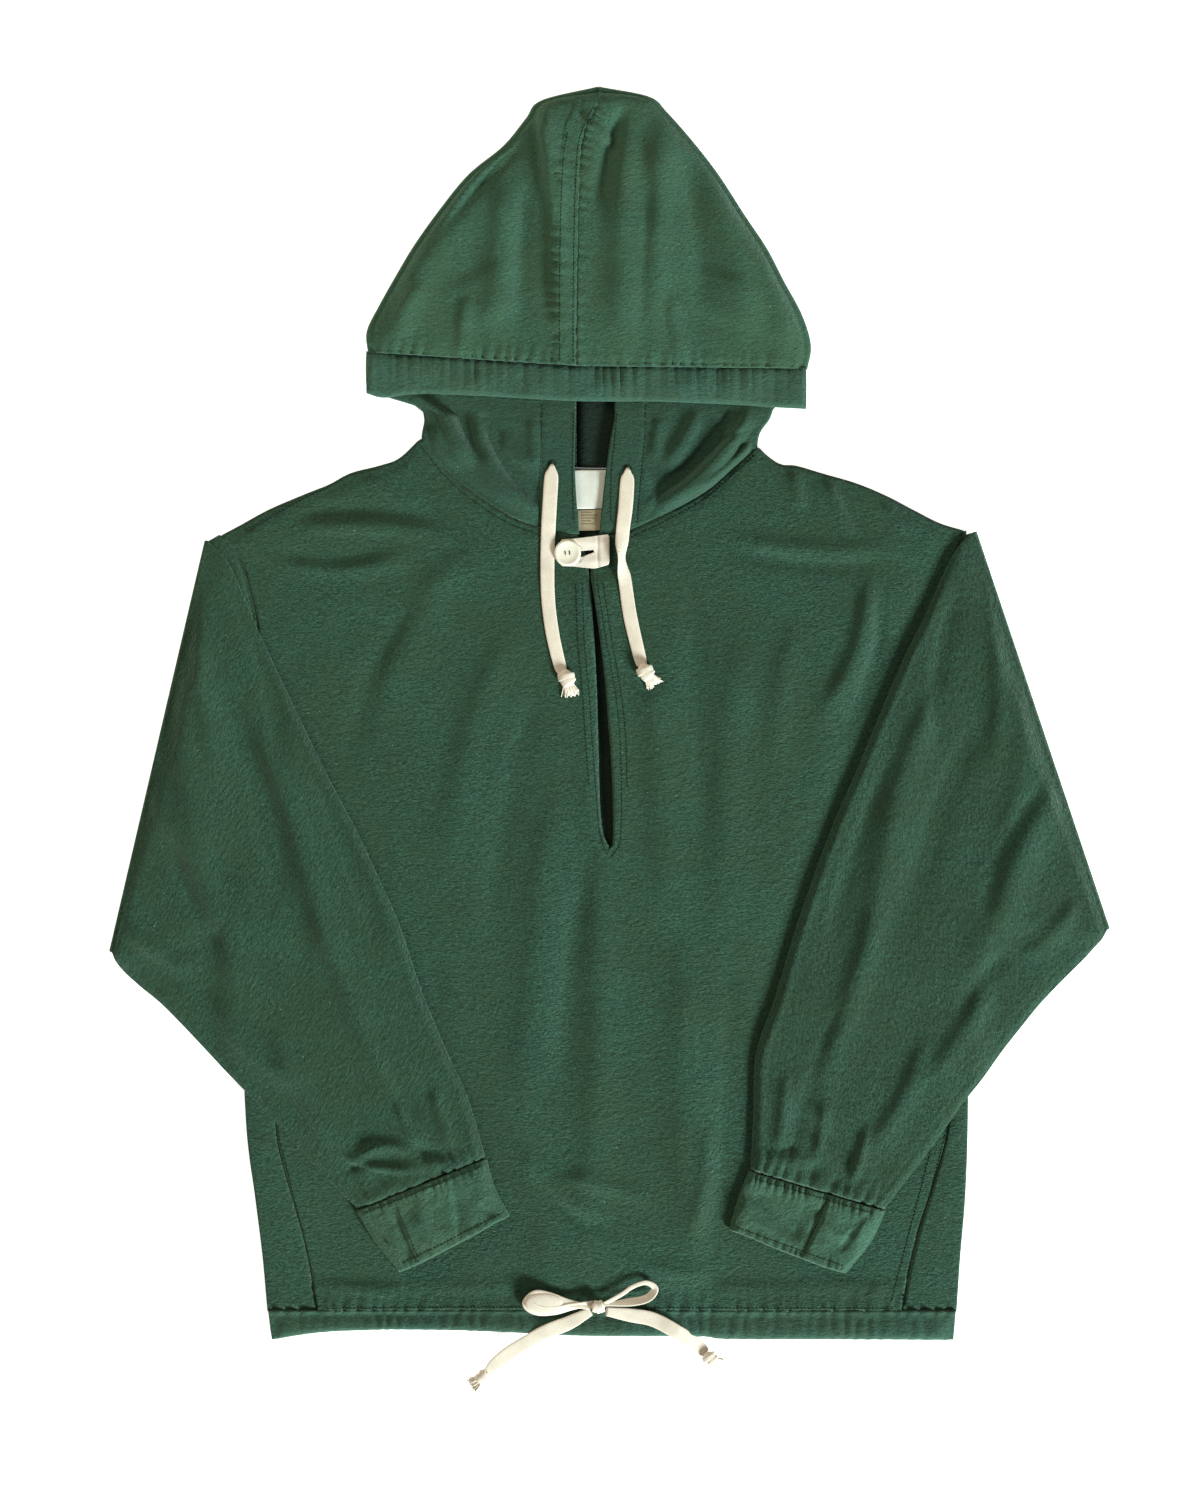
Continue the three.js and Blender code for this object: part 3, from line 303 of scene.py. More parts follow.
# %% [markdown]
# Tape and thread are tubes along a line of points. A flat tape has a low rounded section that keeps level,
# except where a twist turns it on edge. The same maker gives tapes, knots' turns and frayed strands.

# %% Tubes
def tube_mesh(path, section, up=(0, 0, 1), widths=None, rolls=None, caps=True):
    """A closed tube. Path is in metres, section is a ring of (across, up) in metres."""
    path = np.asarray(path, float)
    count = len(path)
    tangents = np.gradient(path, axis=0)
    tangents /= np.linalg.norm(tangents, axis=1)[:, None]
    points = []
    for index in range(count):
        side = np.cross(tangents[index], up)
        side /= np.linalg.norm(side)
        high = np.cross(side, tangents[index])
        roll = 0 if rolls is None else rolls[index]
        wide = 1 if widths is None else widths[index]
        across = side * math.cos(roll) + high * math.sin(roll)
        above = high * math.cos(roll) - side * math.sin(roll)
        for a, b in section:
            points.append(path[index] + across * a * wide + above * b)
    ring = len(section)
    faces = grid_faces(count, ring, wrap=True)
    if caps:
        faces.append(tuple(range(ring))[::-1])
        faces.append(tuple(range((count - 1) * ring, count * ring)))
    return points, faces


def flat_section(wide, thick, sides=14):
    """Ring of a woven tape: flat faces and rounded edges, thinner in the middle."""
    ring = []
    for k in range(sides):
        turn = 2 * math.pi * (k + 0.5) / sides
        a = math.copysign(abs(math.cos(turn)) ** 0.55, math.cos(turn))
        b = math.copysign(abs(math.sin(turn)) ** 0.8, math.sin(turn))
        ring.append((a * wide / 2, b * thick / 2 * (0.82 + 0.18 * a * a)))
    return ring


def round_section(radius, sides=8):
    turns = [2 * math.pi * k / sides for k in range(sides)]
    return [(radius * math.cos(t), radius * math.sin(t)) for t in turns]


# %% [markdown]
# Tapes and stitches lie on the cloth, so its height has to be found at any place. A ray from above does that.

# %% Heights on finished cloth
resting = {}


def surface_of(piece):
    """A fast finder of heights on a finished piece."""
    if piece.name not in resting:
        resting[piece.name] = BVHTree.FromObject(piece, bpy.context.evaluated_depsgraph_get())
    return resting[piece.name]


def drop_on(piece, x, y):
    """Height of the piece's upper face in millimetres at garment places, or None where there is none."""
    found = []
    for place in metres(x, y, 60.0):
        hit = surface_of(piece).ray_cast(Vector(place), Vector((0, 0, -1)))
        found.append(None if hit[0] is None else hit[0].z * 1000)
    return found

# %% [markdown]
# The pattern's outline comes next: the side seams and armholes, the shoulders, the neckline in front and behind,
# and the side seams that have rolled over to the front near the hem. They repeat the solids' tables, and a smooth line
# through them gives the soft edge of real cloth.

# %% Outline tables
CASING_LINE = -478.0
ROLL_TOP = -284.0
SIDES = [  # y, left x, right x
    (-502, -269, 274), (-478, -272, 276), (-434, -276, 279), (-386, -282, 283), (-330, -289, 285), (-230, -293, 286),
    (-149, -296, 287), (-100, -290, 276), (-40, -285, 268), (20, -283, 264), (69, -283, 266), (96, -288, 270),
    (120, -295, 276), (142, -311, 284),
]
SHOULDER_LEFT = [(-311, 142), (-294, 151), (-272, 163), (-244, 175), (-224, 183), (-207, 192), (-184, 198), (-168, 204), (-151, 220)]
FRONT_NECK = [
    (-151, 220), (-127, 191), (-100, 170), (-76, 156), (-48, 147), (-28, 143), (2, 143), (20, 148), (47, 161), (77, 178),
    (100, 198), (118, 214),
]
BACK_NECK = [(-151, 219), (-120, 208), (-70, 199), (-10, 196), (50, 198), (95, 206), (118, 213)]
SHOULDER_RIGHT = [(118, 214), (126, 206), (137, 199), (149, 198), (173, 191), (197, 184), (221, 174), (244, 162), (264, 152), (284, 146)]
ROLLED_SEAMS = [(-500, -228, 231), (-467, -235, 235), (-418, -245, 246), (-380, -256, 258), (-346, -265, 268), (-325, -267.6, 272), (-284, -277, 281)]


def stepped(lines):
    """One line from several that meet in corners."""
    return np.vstack([smooth_line(line, 8) for line in lines])


FRONT_TOP_LINE = stepped([SHOULDER_LEFT, FRONT_NECK, SHOULDER_RIGHT])
BACK_TOP_LINE = stepped([SHOULDER_LEFT, BACK_NECK, SHOULDER_RIGHT])
SIDE_LINE = smooth_line(SIDES, 8)
SEAM_LINE = smooth_line(ROLLED_SEAMS, 8)


def front_top(x):
    return np.interp(x, FRONT_TOP_LINE[:, 0], FRONT_TOP_LINE[:, 1])


def back_top(x):
    return np.interp(x, BACK_TOP_LINE[:, 0], BACK_TOP_LINE[:, 1])


def side_x(y, side):
    return np.interp(y, SIDE_LINE[:, 0], SIDE_LINE[:, 1 if side == "left" else 2])


def seam_x(y, side):
    return np.interp(y, SEAM_LINE[:, 0], SEAM_LINE[:, 1 if side == "left" else 2])


# %% [markdown]
# Each sleeve has been turned over at the shoulder and lies down beside the chest. A row of this table is one
# cross-section: the inner edge on the chest and the outer edge, which is the underarm seam.

# %% Sleeve and cuff sections
SLEEVES = {  # inner x, inner y, outer x, outer y
    "left": [
        (-321, 137, -397, -190), (-304, 118, -394, -197), (-284, 72, -387, -206), (-265, 31, -375, -217),
        (-244, -13, -358, -231), (-224, -54, -341, -248), (-204, -92, -324, -266), (-186, -130, -308, -283),
        (-168, -171, -290, -301), (-151, -222, -264, -328), (-131, -270, -234, -361), (-114, -308, -215, -381),
        (-101, -352, -202, -393),
    ],
    "right": [
        (291, 144, 397, -172), (278, 131, 393, -179), (266, 108, 387, -186), (252, 76, 379, -195), (236, 44, 369, -205),
        (218, 2, 355, -219), (199, -44, 342, -233), (180, -88, 329, -249), (162, -136, 314, -268), (147, -181, 298, -290),
        (133, -228, 281, -311), (118, -272, 262, -338), (116, -318, 241, -366), (114, -362, 220, -393),
    ],
}
CUFFS = {
    "left": [(-99.5, -356, -201, -397), (-93, -379, -186, -421), (-81, -402, -166, -446)],
    "right": [(112.5, -366, 219, -397), (103, -391, 207, -422), (97, -413, 187, -447)],
}
INNER_EDGE = {}
for side in ("left", "right"):
    rows = [(y, x) for x, y, _, _ in SLEEVES[side] + CUFFS[side][1:]]
    INNER_EDGE[side] = np.array(sorted(rows), float)


def inner_edge(y, side):
    return np.interp(y, INNER_EDGE[side][:, 0], INNER_EDGE[side][:, 1])


# %% [markdown]
# The front panel carries most of the picture. Folds run down from the shoulders and across the chest, a long soft
# trough falls from the neck slit, and short creases lie near the cuffs. They are placed one by one from the photograph,
# each with its own length, bow and depth. Under the sleeves the panel is pressed flat.

# %% Folds of the front panel
FRONT_FOLDS = [  # from x, y, to x, y, bow, right width, left width, height
    (-252, 158, -118, 150, -6, 5, 9, -2.07), (-246, 147, -122, 140, -5, 6, 9, 3.18), (-268, 128, -176, 131, 7, 6, 8, -1.94),
    (-262, 120, -156, 126, 7, 7, 9, 2.91), (-196, 190, -150, 166, 4, 5, 6, 1.66), (-110, 128, -182, 10, 14, 12, 18, 3.42),
    (-150, 96, -206, -30, 10, 9, 12, -2.66), (-84, 60, -126, -130, 10, 13, 18, 3.42), (-60, 20, -96, -190, 6, 9, 14, -2.28),
    (-44, -70, -66, -330, 5, 14, 18, 3.6), (-20, -120, -38, -300, 5, 8, 11, -2.84), (-8, -118, -20, -430, -4, 11, 16, 2.84),
    (36, 60, 50, -160, 4, 12, 16, 3.23), (66, 90, 84, -120, 5, 9, 12, -2.09), (92, 140, 232, 130, 6, 7, 8, 3.05),
    (96, 128, 214, 119, 5, 5, 8, -1.94), (146, 196, 152, 164, 1, 4, 5, 2.22), (156, 194, 164, 160, 1, 4, 5, -1.52),
    (174, 190, 196, 146, 5, 4, 6, 2.91), (184, 186, 204, 146, 5, 4, 6, -1.66), (220, 172, 240, 142, 4, 4, 6, 2.35),
    (208, 108, 168, -4, -9, 7, 10, 4.56), (216, 88, 184, -18, -9, 5, 8, -2.84), (150, 70, 132, -50, 6, 9, 12, 2.47),
    (108, 60, 92, -200, 8, 14, 18, 3.04), (60, -190, 72, -440, 6, 15, 19, 3.42), (96, -210, 84, -440, -4, 9, 13, -2.47),
    (-130, -210, -104, -330, 5, 9, 12, 2.47), (-70, -348, -12, -402, 6, 6, 8, 2.84), (-62, -366, 2, -418, 6, 5, 7, -2.28),
    (-40, -372, 34, -392, -5, 6, 8, 2.28), (78, -330, 66, -420, -4, 7, 9, 2.66), (-232, -300, -224, -452, 3, 10, 13, 2.84),
    (-252, -330, -248, -430, 3, 5, 7, -1.9), (238, -366, 214, -470, 3, 6, 8, 2.66), (-190, -430, -110, -452, 4, 7, 9, 2.28),
    (20, -440, 150, -452, 4, 7, 9, 2.09), (150, -452, 236, -440, 3, 6, 9, 2.28), (246, -402, 243, -438, 0, 1.1, 1.6, -3.2), (-246, -446, -160, -462, 3, 6, 8, 2.09),
]
SLIT = [  # y, left edge x, right edge x
    (-108, 1.6, 1.6), (-104, -1.6, 2.4), (-97, -4.6, 2.8), (-84, -6.8, 2.8), (-60, -8.0, 2.2), (-38, -8.6, 1.2), (-20, -9.0, 0.0),
    (-4, -9.4, -1.4), (19, -10.0, -3.0), (40, -11.0, -5.2), (62, -12.4, -8.0), (80, -13.4, -10.4), (95, -14.4, -12.7),
    (115, -17.0, -15.0), (134, -21.0, -9.0), (143, -26.0, -1.6),
]
SLIT_LINE = smooth_line(SLIT, 6)
SLIT_FOOT = -106.0


def slit_x(y, column):
    return np.interp(y, SLIT_LINE[:, 0], SLIT_LINE[:, column])


def freedom(x, y):
    """How far the front may rise: nothing under sleeves and cuffs, all of it between them."""
    left, right = inner_edge(y, "left"), inner_edge(y, "right")
    between = ease(x, left + 3, left + 34) * ease(-x, -right + 3, -right + 34)
    return np.maximum(between, 1 - ease(y, -464, -450))


CORD_REST = [(-47, 196), (-49, 146), (-49.6, 100), (-46, 62), (-34, 26)]
CORD_REST_RIGHT = [(14, 190), (10.6, 146), (11, 110), (17, 76), (29, 32)]
SIDE_STITCH = {
    "left": [(-267, -328), (-258, -362), (-248, -404), (-240, -440), (-235, -470)],
    "right": [(270, -330), (262, -362), (250, -408), (240, -446), (233, -472)],
}
NECK_STITCH = [(x, y - 6.4) for x, y in FRONT_NECK]


def front_height(x, y):
    """Upper face of the front panel."""
    x, y = np.broadcast_arrays(np.asarray(x, float), np.asarray(y, float))
    soft = fold_height(FRONT_FOLDS, x, y)
    soft = soft + 0.55 * ripple(x, y, 62, 11, 1.3) + 0.34 * ripple(x, y, 27, 12, 1.5) + 0.15 * ripple(x, y, 11, 13, 1.8)
    near_cord = np.minimum(nearest_on(CORD_REST, x, y)[0], nearest_on(CORD_REST_RIGHT, x, y)[0])
    soft = soft * (0.3 + 0.7 * ease(near_cord, 6, 26))
    top = front_top(x)
    from_top = top - y
    near_tab = np.hypot((x + 21) / 1.7, y - 129)
    rise = (2.5 + soft) * (0.3 + 0.7 * ease(near_tab, 14, 27))
    rise = rise * (0.74 + 0.26 * ease(y, CASING_LINE - 2, CASING_LINE + 10)) * (0.25 + 0.75 * ease(from_top, 1, 14))
    dip = 2.0 * (0.75 + 0.45 * ripple(x, 0 * x, 60, 24)) * np.exp(-(((y - CASING_LINE - 12.5) / 7.0) ** 2))
    rise = rise - np.clip(dip, 0, 0.8 * np.maximum(rise, 0))
    away, _, _ = nearest_on(FRONT_NECK, x, y)
    rise = rise + 0.75 * np.exp(-(((away - 3.4) / 2.6) ** 2)) * (x > -150) * (x < 117)
    rise = rise + puckers(NECK_STITCH, x, y, 9, 7, 0.6, 21)
    for flank in SIDE_STITCH.values():
        rise = rise + puckers(flank, x, y, 7, 9, 0.8, 23)
    rise = rise + puckers([(-270, CASING_LINE), (275, CASING_LINE)], x, y, 11, 15, 1.15, 22)
    # The slit stands a little open, its right edge high and its left edge sloping down beside it
    left_edge, right_edge = slit_x(y, 1), slit_x(y, 2)
    open_part = ease(y, SLIT_FOOT - 6, SLIT_FOOT + 24) * (1 - ease(y, 92, 114))
    is_left = x < 0.5 * (left_edge + right_edge)
    left_slope = np.exp(-((np.minimum(x - left_edge, 0) / 5.0) ** 2)) * is_left
    right_lift = np.exp(-((np.maximum(x - right_edge, 0) / 13.0) ** 2)) * ~is_left
    rise = rise + open_part * 1.7 * right_lift + open_part * 1.0 * np.exp(-(((x - left_edge + 9) / 7.0) ** 2)) * is_left
    rise = rise - np.minimum(1.5 * open_part * left_slope, rise)
    seam_away, _, _ = nearest_on(SLIT_STITCH_LEFT, x, y)
    seam_away_right, _, _ = nearest_on(SLIT_STITCH_RIGHT, x, y)
    rise = rise - 0.35 * np.exp(-((np.minimum(seam_away, seam_away_right) / 1.1) ** 2))
    crease = 0.0
    for side, inward in (("left", 1), ("right", -1)):
        beside = inward * (x - inner_edge(y, side))
        crease = crease + 1.15 * np.exp(-(((beside - 1.5) / 3.0) ** 2)) * ease(y, -400, -340) * (1 - ease(y, 100, 140))
    return TOP + 0.05 + np.maximum(rise, 0) * freedom(x, y) - crease


SLIT_STITCH_LEFT = [(-21.6, 104), (-20.2, 60), (-18.4, 38), (-15.8, 10), (-14.0, -20), (-10.8, -61), (-8.4, -91), (-4.4, -107), (0.4, -116)]
SLIT_STITCH_RIGHT = [(-9.6, 104), (-3.2, 62), (1.0, 38), (5.6, 10), (8.4, -20), (9.7, -61), (9.2, -97), (5.6, -109), (0.4, -116)]

# %% [markdown]
# The panel is cut in two grids that meet below the slit. There their edge points fall together and are merged,
# and above it each has its own free edge. That keeps one clean surface with a real opening in it.

# %% The front panel
COARSE = 1.0


def front_side_x(y, side):
    inward = 1 if side == "left" else -1
    plain = side_x(y, side) + inward * 1.5
    seam = seam_x(y, side) + inward * 0.4
    return mix(seam, plain, ease(y, ROLL_TOP, ROLL_TOP + 22))


def panel_grid(edge_left, edge_right, top_line, columns, rows, low=CASING_LINE + GAP):
    """Plan positions of a panel between two side curves, the hem line and a top line."""
    u = np.linspace(0, 1, columns)[None, :]
    v = np.linspace(0, 1, rows)[:, None]
    y = np.full((rows, columns), -100.0)
    x = np.zeros((rows, columns))
    for _ in range(40):
        x = 0.5 * x + 0.5 * mix(edge_left(y), edge_right(y), u)
        y = mix(low, top_line(x), v)
    return x, y


def slit_edge(y, column):
    """Edge of a half panel at the slit; below the slit both halves share the middle line."""
    meet = slit_x(SLIT_FOOT, 1)
    return np.where(y < SLIT_FOOT, meet, slit_x(y, column))


half_columns, half_rows = int(92 / COARSE), int(206 / COARSE)
left_x, left_y = panel_grid(lambda y: front_side_x(y, "left"), lambda y: slit_edge(y, 1), front_top, half_columns, half_rows)
right_x, right_y = panel_grid(lambda y: slit_edge(y, 2), lambda y: front_side_x(y, "right"), front_top, half_columns, half_rows)
shared_y = 0.5 * (left_y[:, -1] + right_y[:, 0])
below = shared_y < SLIT_FOOT
for grid_x, grid_y, edge in ((left_x, left_y, -1), (right_x, right_y, 0)):
    grid_y[below, edge] = shared_y[below]
    grid_x[below, edge] = slit_x(SLIT_FOOT, 1)
front_grids = [grid_of(gx, gy, front_height(gx, gy)) for gx, gy in ((left_x, left_y), (right_x, right_y))]
front_panel = shell("front_panel", front_grids, merge=True)
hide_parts("body_front")
print("front panel:", len(front_panel.data.polygons), "faces")

# %% [markdown]
# The back panel lies flat on the table, so its underside is plain. Beside the hem it has rolled round to the front,
# and the side seam shows there. One grid goes round the edge like a letter C and back along the front.

# %% The back panel
def back_panel_grid():
    columns, rows, turn = int(96 / COARSE), int(110 / COARSE), 9
    x, y = panel_grid(lambda v: side_x(v, "left"), lambda v: side_x(v, "right"), back_top, columns, rows)
    z = np.full_like(x, 0.02)
    edge_rows = []
    for side, edge, outward in (("left", 0, -1), ("right", -1, 1)):
        edge_x, edge_y = x[:, edge], y[:, edge]
        reach = np.where(edge_y < ROLL_TOP - 8, np.abs(side_x(edge_y, side) - seam_x(edge_y, side)), 1.2)
        reach = np.where((edge_y > ROLL_TOP - 30) & (edge_y < ROLL_TOP - 8), reach * (1 - ease(edge_y, ROLL_TOP - 30, ROLL_TOP - 8)) + 1.2, reach)
        strip = []
        tall = np.where(edge_y < ROLL_TOP, TOP + 0.55, TOP)
        for k in range(1, 6):
            angle = math.pi * k / 6
            strip.append(np.stack([edge_x + outward * 1.5 * math.sin(angle), edge_y, tall / 2 * (1 - math.cos(angle))], axis=-1))
        for k in range(turn + 1):
            share = k / turn
            px = edge_x - outward * reach * share
            wave = 0.25 * ripple(px, edge_y, 18, 31) + 0.6 * math.sin(math.pi * share)
            strip.append(np.stack([px, edge_y, tall + np.maximum(wave, 0) * (edge_y < ROLL_TOP - 8)], axis=-1))
        edge_rows.append(np.stack(strip, axis=1))
    main = np.stack([x, y, z], axis=-1)
    return np.concatenate([edge_rows[0][:, ::-1], main, edge_rows[1]], axis=1)


back_panel = shell("back_panel", [back_panel_grid()], flip=True)
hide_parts("body_back")
print("back panel:", len(back_panel.data.polygons), "faces")

# %% [markdown]
# The hem is a channel of doubled cloth that the tape runs through, so it is gathered a little along its stitching.
# It is a flat tube all round the body: fat and rippled in front, plain where it rests.

# %% The hem channel
HEM_EDGE = [  # x, y of the bottom edge
    (-269, -500), (-232, -494.6), (-185, -492.2), (-125, -492.6), (-76, -494.4), (-20, -497), (72, -497.6), (90, -499.6),
    (168, -499.8), (274, -500.4),
]


def hem_grid():
    around, rings = int(340 / COARSE), 13
    ends, low_part = 8, int(90 / COARSE)
    share_top = np.linspace(0, 1, around)
    level_top = np.ones(around)
    angle = np.linspace(0, math.pi, ends + 2)[1:-1]
    share = np.concatenate([share_top, np.ones(ends), np.linspace(1, 0, low_part), np.zeros(ends)])
    level = np.concatenate([level_top, np.cos(angle), -np.ones(low_part), -np.cos(angle)])
    beyond = np.concatenate([0 * share_top, np.sin(angle), np.zeros(low_part), -np.sin(angle)])
    v = np.linspace(0, 1, rings)[:, None]
    x0 = mix(-269.0, 274.0, share)[None, :]
    y = mix(CASING_LINE + 0.9, column_at(HEM_EDGE, 0, x0, 1), v)
    x = mix(side_x(y, "left"), side_x(y, "right"), share[None, :]) + 0.8 * beyond[None, :]
    swell = ease(v, 0.0, 0.8) * (1 - 0.55 * ease(v, 0.86, 1.0))
    gather = gathers(x, y - CASING_LINE, 11.0, 41) * (0.9 - 0.4 * v) + 0.4 * ripple(x, 0.5 * y, 21, 42)
    edge_fade = ease(share, 0, 0.02) * (1 - ease(share, 0.98, 1))
    full = 1.2 + (3.0 * swell + 1.0 * gather * (0.35 + 0.65 * swell)) * edge_fade[None, :]
    top = TOP + np.maximum(full, 0.4)
    at_line = front_height(x, CASING_LINE + GAP + 0 * x) + 0.25
    top = mix(top, np.maximum(at_line, TOP + 0.1), np.exp(-((v * 22 / 3.2) ** 2)))
    middle = 0.5 * top
    z = np.where(level[None, :] > 0, middle + (top - middle) * level[None, :], middle * (1 + level[None, :]))
    y = y + 0.5 * gather * v * (level[None, :] > 0)
    return grid_of(x, y, z)


hem_channel = shell("hem_channel", [hem_grid()], wrap=True, flip=True)
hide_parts("hem_casing")
print("hem channel:", len(hem_channel.data.polygons), "faces")

# %% [markdown]
# A sleeve is one tube. It starts at the armhole, runs flat to the fold line, goes over that line and comes back down
# across the chest to the cuff. The upper layer swells a little between its two edges, with soft rolled edges, long
# folds and the gathers that the cuff seam pulls into it. Beside the body it sags down to the table.

# %% Folds of the sleeves
SLEEVE_FOLDS = {
    "left": [
        (-330, 118, -310, -60, 6, 7, 11, 4.91), (-304, 108, -262, -40, -8, 6, 9, -3.28), (-340, 60, -318, -130, 8, 12, 17, 5.46),
        (-366, -60, -292, -226, -7, 12, 18, 6.01), (-352, -100, -300, -200, 5, 7, 10, -3.56), (-282, -10, -226, -206, -9, 10, 15, 6.01),
        (-306, 10, -262, -150, -6, 9, 12, -3.82), (-240, -40, -186, -190, -5, 6, 9, -3.28), (-232, -160, -168, -300, 5, 9, 13, 5.46),
        (-318, -230, -250, -300, 4, 8, 11, 3.82), (-266, -262, -214, -350, 4, 7, 10, 4.1), (-200, -240, -152, -336, -4, 6, 8, -3.28),
        (-214, -353, -110, -350, 13, 2.4, 9, 3.81), (-162, -343, -118, -350, 3, 6, 4, -2.6), (-206, -348, -186, -386, 2, 4, 6, 1.6),
        (-200, -352, -150, -353, -7, 4, 5, 4.2), (-212, -366, -158, -362, -6, 3, 4, -2.4), (-140, -300, -122, -346, 2, 5, 6, 3.56),
        (-168, -310, -150, -348, 2, 4, 6, 3.56), (-384, -170, -330, -206, 5, 7, 9, 3.82), (-300, -130, -250, -190, 5, 8, 11, 2.73),
    ],
    "right": [
        (300, 116, 306, -50, -7, 7, 11, 3.54), (276, 96, 262, -30, 8, 6, 9, -2.36), (330, 40, 310, -140, -8, 12, 17, 3.93),
        (362, -50, 292, -216, 8, 12, 18, 4.33), (340, -60, 296, -170, 6, 7, 10, -2.56), (262, 20, 210, -180, 9, 10, 15, 4.33),
        (292, -10, 240, -160, 6, 9, 12, -2.75), (222, -40, 176, -190, 5, 6, 9, -2.36), (214, -150, 160, -300, -5, 9, 13, 3.93),
        (300, -220, 246, -300, -4, 8, 11, 2.95), (252, -262, 206, -350, -4, 7, 10, 3.15), (186, -230, 150, -336, 4, 6, 8, -2.36),
        (146, -322, 190, -368, -5, 5, 9, -4.19), (118, -357, 166, -359, 2, 2.2, 7, 3.41), (168, -352, 186, -372, -1, 3, 5, 2.62),
        (128, -350, 150, -346, 1, 3, 4, -2.1), (140, -290, 132, -352, -2, 5, 6, 2.75), (170, -310, 162, -358, -2, 4, 6, 2.75), (204, -330, 190, -376, -2, 4, 5, 2.95),
        (372, -150, 330, -196, -5, 7, 9, 2.75), (318, -190, 280, -240, 4, 7, 9, -2.17),
    ],
}
BED = {}
for side, far in (("left", 400.0), ("right", -400.0)):
    first = SLEEVES[side][0]
    flank = [(row[1 if side == "left" else 2], row[0]) for row in SIDES if row[0] < -140][::-1]
    BED[side] = [(first[0], first[1]), (first[2], first[3])] + flank + [(far, -502), (far, first[1] + 40), (first[0], first[1] + 40)]


def outside(outline, x, y):
    """Distance outside a closed outline, negative inside."""
    loop = outline + outline[:1]
    away, _, _ = nearest_on(loop, x, y)
    inside = np.zeros(np.shape(x), bool)
    for (ax, ay), (bx, by) in zip(loop, loop[1:]):
        if ay != by:
            inside ^= ((ay > y) != (by > y)) & (x < (bx - ax) * (y - ay) / (by - ay) + ax)
    return np.where(inside, -away, away)


def around_tube(across, ends, under):
    """Share across, level from 1 on top to -1 below, and how far beyond the edge, for the points of one ring."""
    angle = np.linspace(0, math.pi, ends + 2)[1:-1]
    top = 0.5 - 0.5 * np.cos(np.linspace(0, math.pi, across)) * 0.25 - 0.375 * np.linspace(1, -1, across)
    top = (top - top[0]) / (top[-1] - top[0])
    share = np.concatenate([top, np.ones(ends), np.linspace(1, 0, under), np.zeros(ends)])
    level = np.concatenate([np.ones(across), np.cos(angle), -np.ones(under), -np.cos(angle)])
    beyond = np.concatenate([np.zeros(across), np.sin(angle), np.zeros(under), -np.sin(angle)])
    return share, level, beyond


SLEEVE_BASE = 3.0
INNER_FIRST = {
    side: np.hypot(SLEEVES[side][-2][0], SLEEVES[side][-2][1] + 250) < np.hypot(SLEEVES[side][-2][2], SLEEVES[side][-2][3] + 250)
    for side in ("left", "right")
}
SLEEVE_HALF = 1.35


def sleeve_rise(side, x, y, share, along, wide):
    """How far the upper layer stands over a pressed sleeve."""
    edge = np.minimum(share, 1 - share) * wide
    roll = 1 - np.exp(-edge / 5.0)
    soft = fold_height(SLEEVE_FOLDS[side], x, y)
    soft = soft + 0.6 * ripple(x, y, 55, 51, 0.8) + 0.35 * ripple(x, y, 24, 52, 0.9) + 0.14 * ripple(x, y, 10, 53)
    cuff = SLEEVES[side][-1]
    seam = [(cuff[0], cuff[1]), (cuff[2], cuff[3])]
    small = puckers(seam, x, y, 10, 13, 1.3, 54) + 1.3 * ripple(x, y, 14, 57) * np.exp(-((nearest_on(seam, x, y)[0] / 30) ** 2))
    under_line = [(row[2], row[3]) for row in SLEEVES[side]]
    away, _, _ = nearest_on(under_line, x, y)
    small = small + puckers(under_line, x, y, 12, 9, 0.6, 55) - 0.6 * np.exp(-(((away - 7.5) / 1.4) ** 2))
    inner = share * wide if INNER_FIRST[side] else (1 - share) * wide
    at_cuff = np.exp(-((nearest_on(seam, x, y)[0] / 8.0) ** 2))
    soft = soft * (1 - at_cuff) + 1.5 * at_cuff
    rise = (2.4 + soft) * ease(along, -0.01, 0.10)
    rise = rise + 2.0 * np.exp(-(((inner - 4.5) / 4.0) ** 2)) * ease(along, 0.05, 0.3)
    small = small - 0.3 * np.exp(-((nearest_on(seam, x, y)[0] / 2.2) ** 2))
    return np.maximum(rise + small * ease(along, 0.02, 0.1), 0.05) * roll


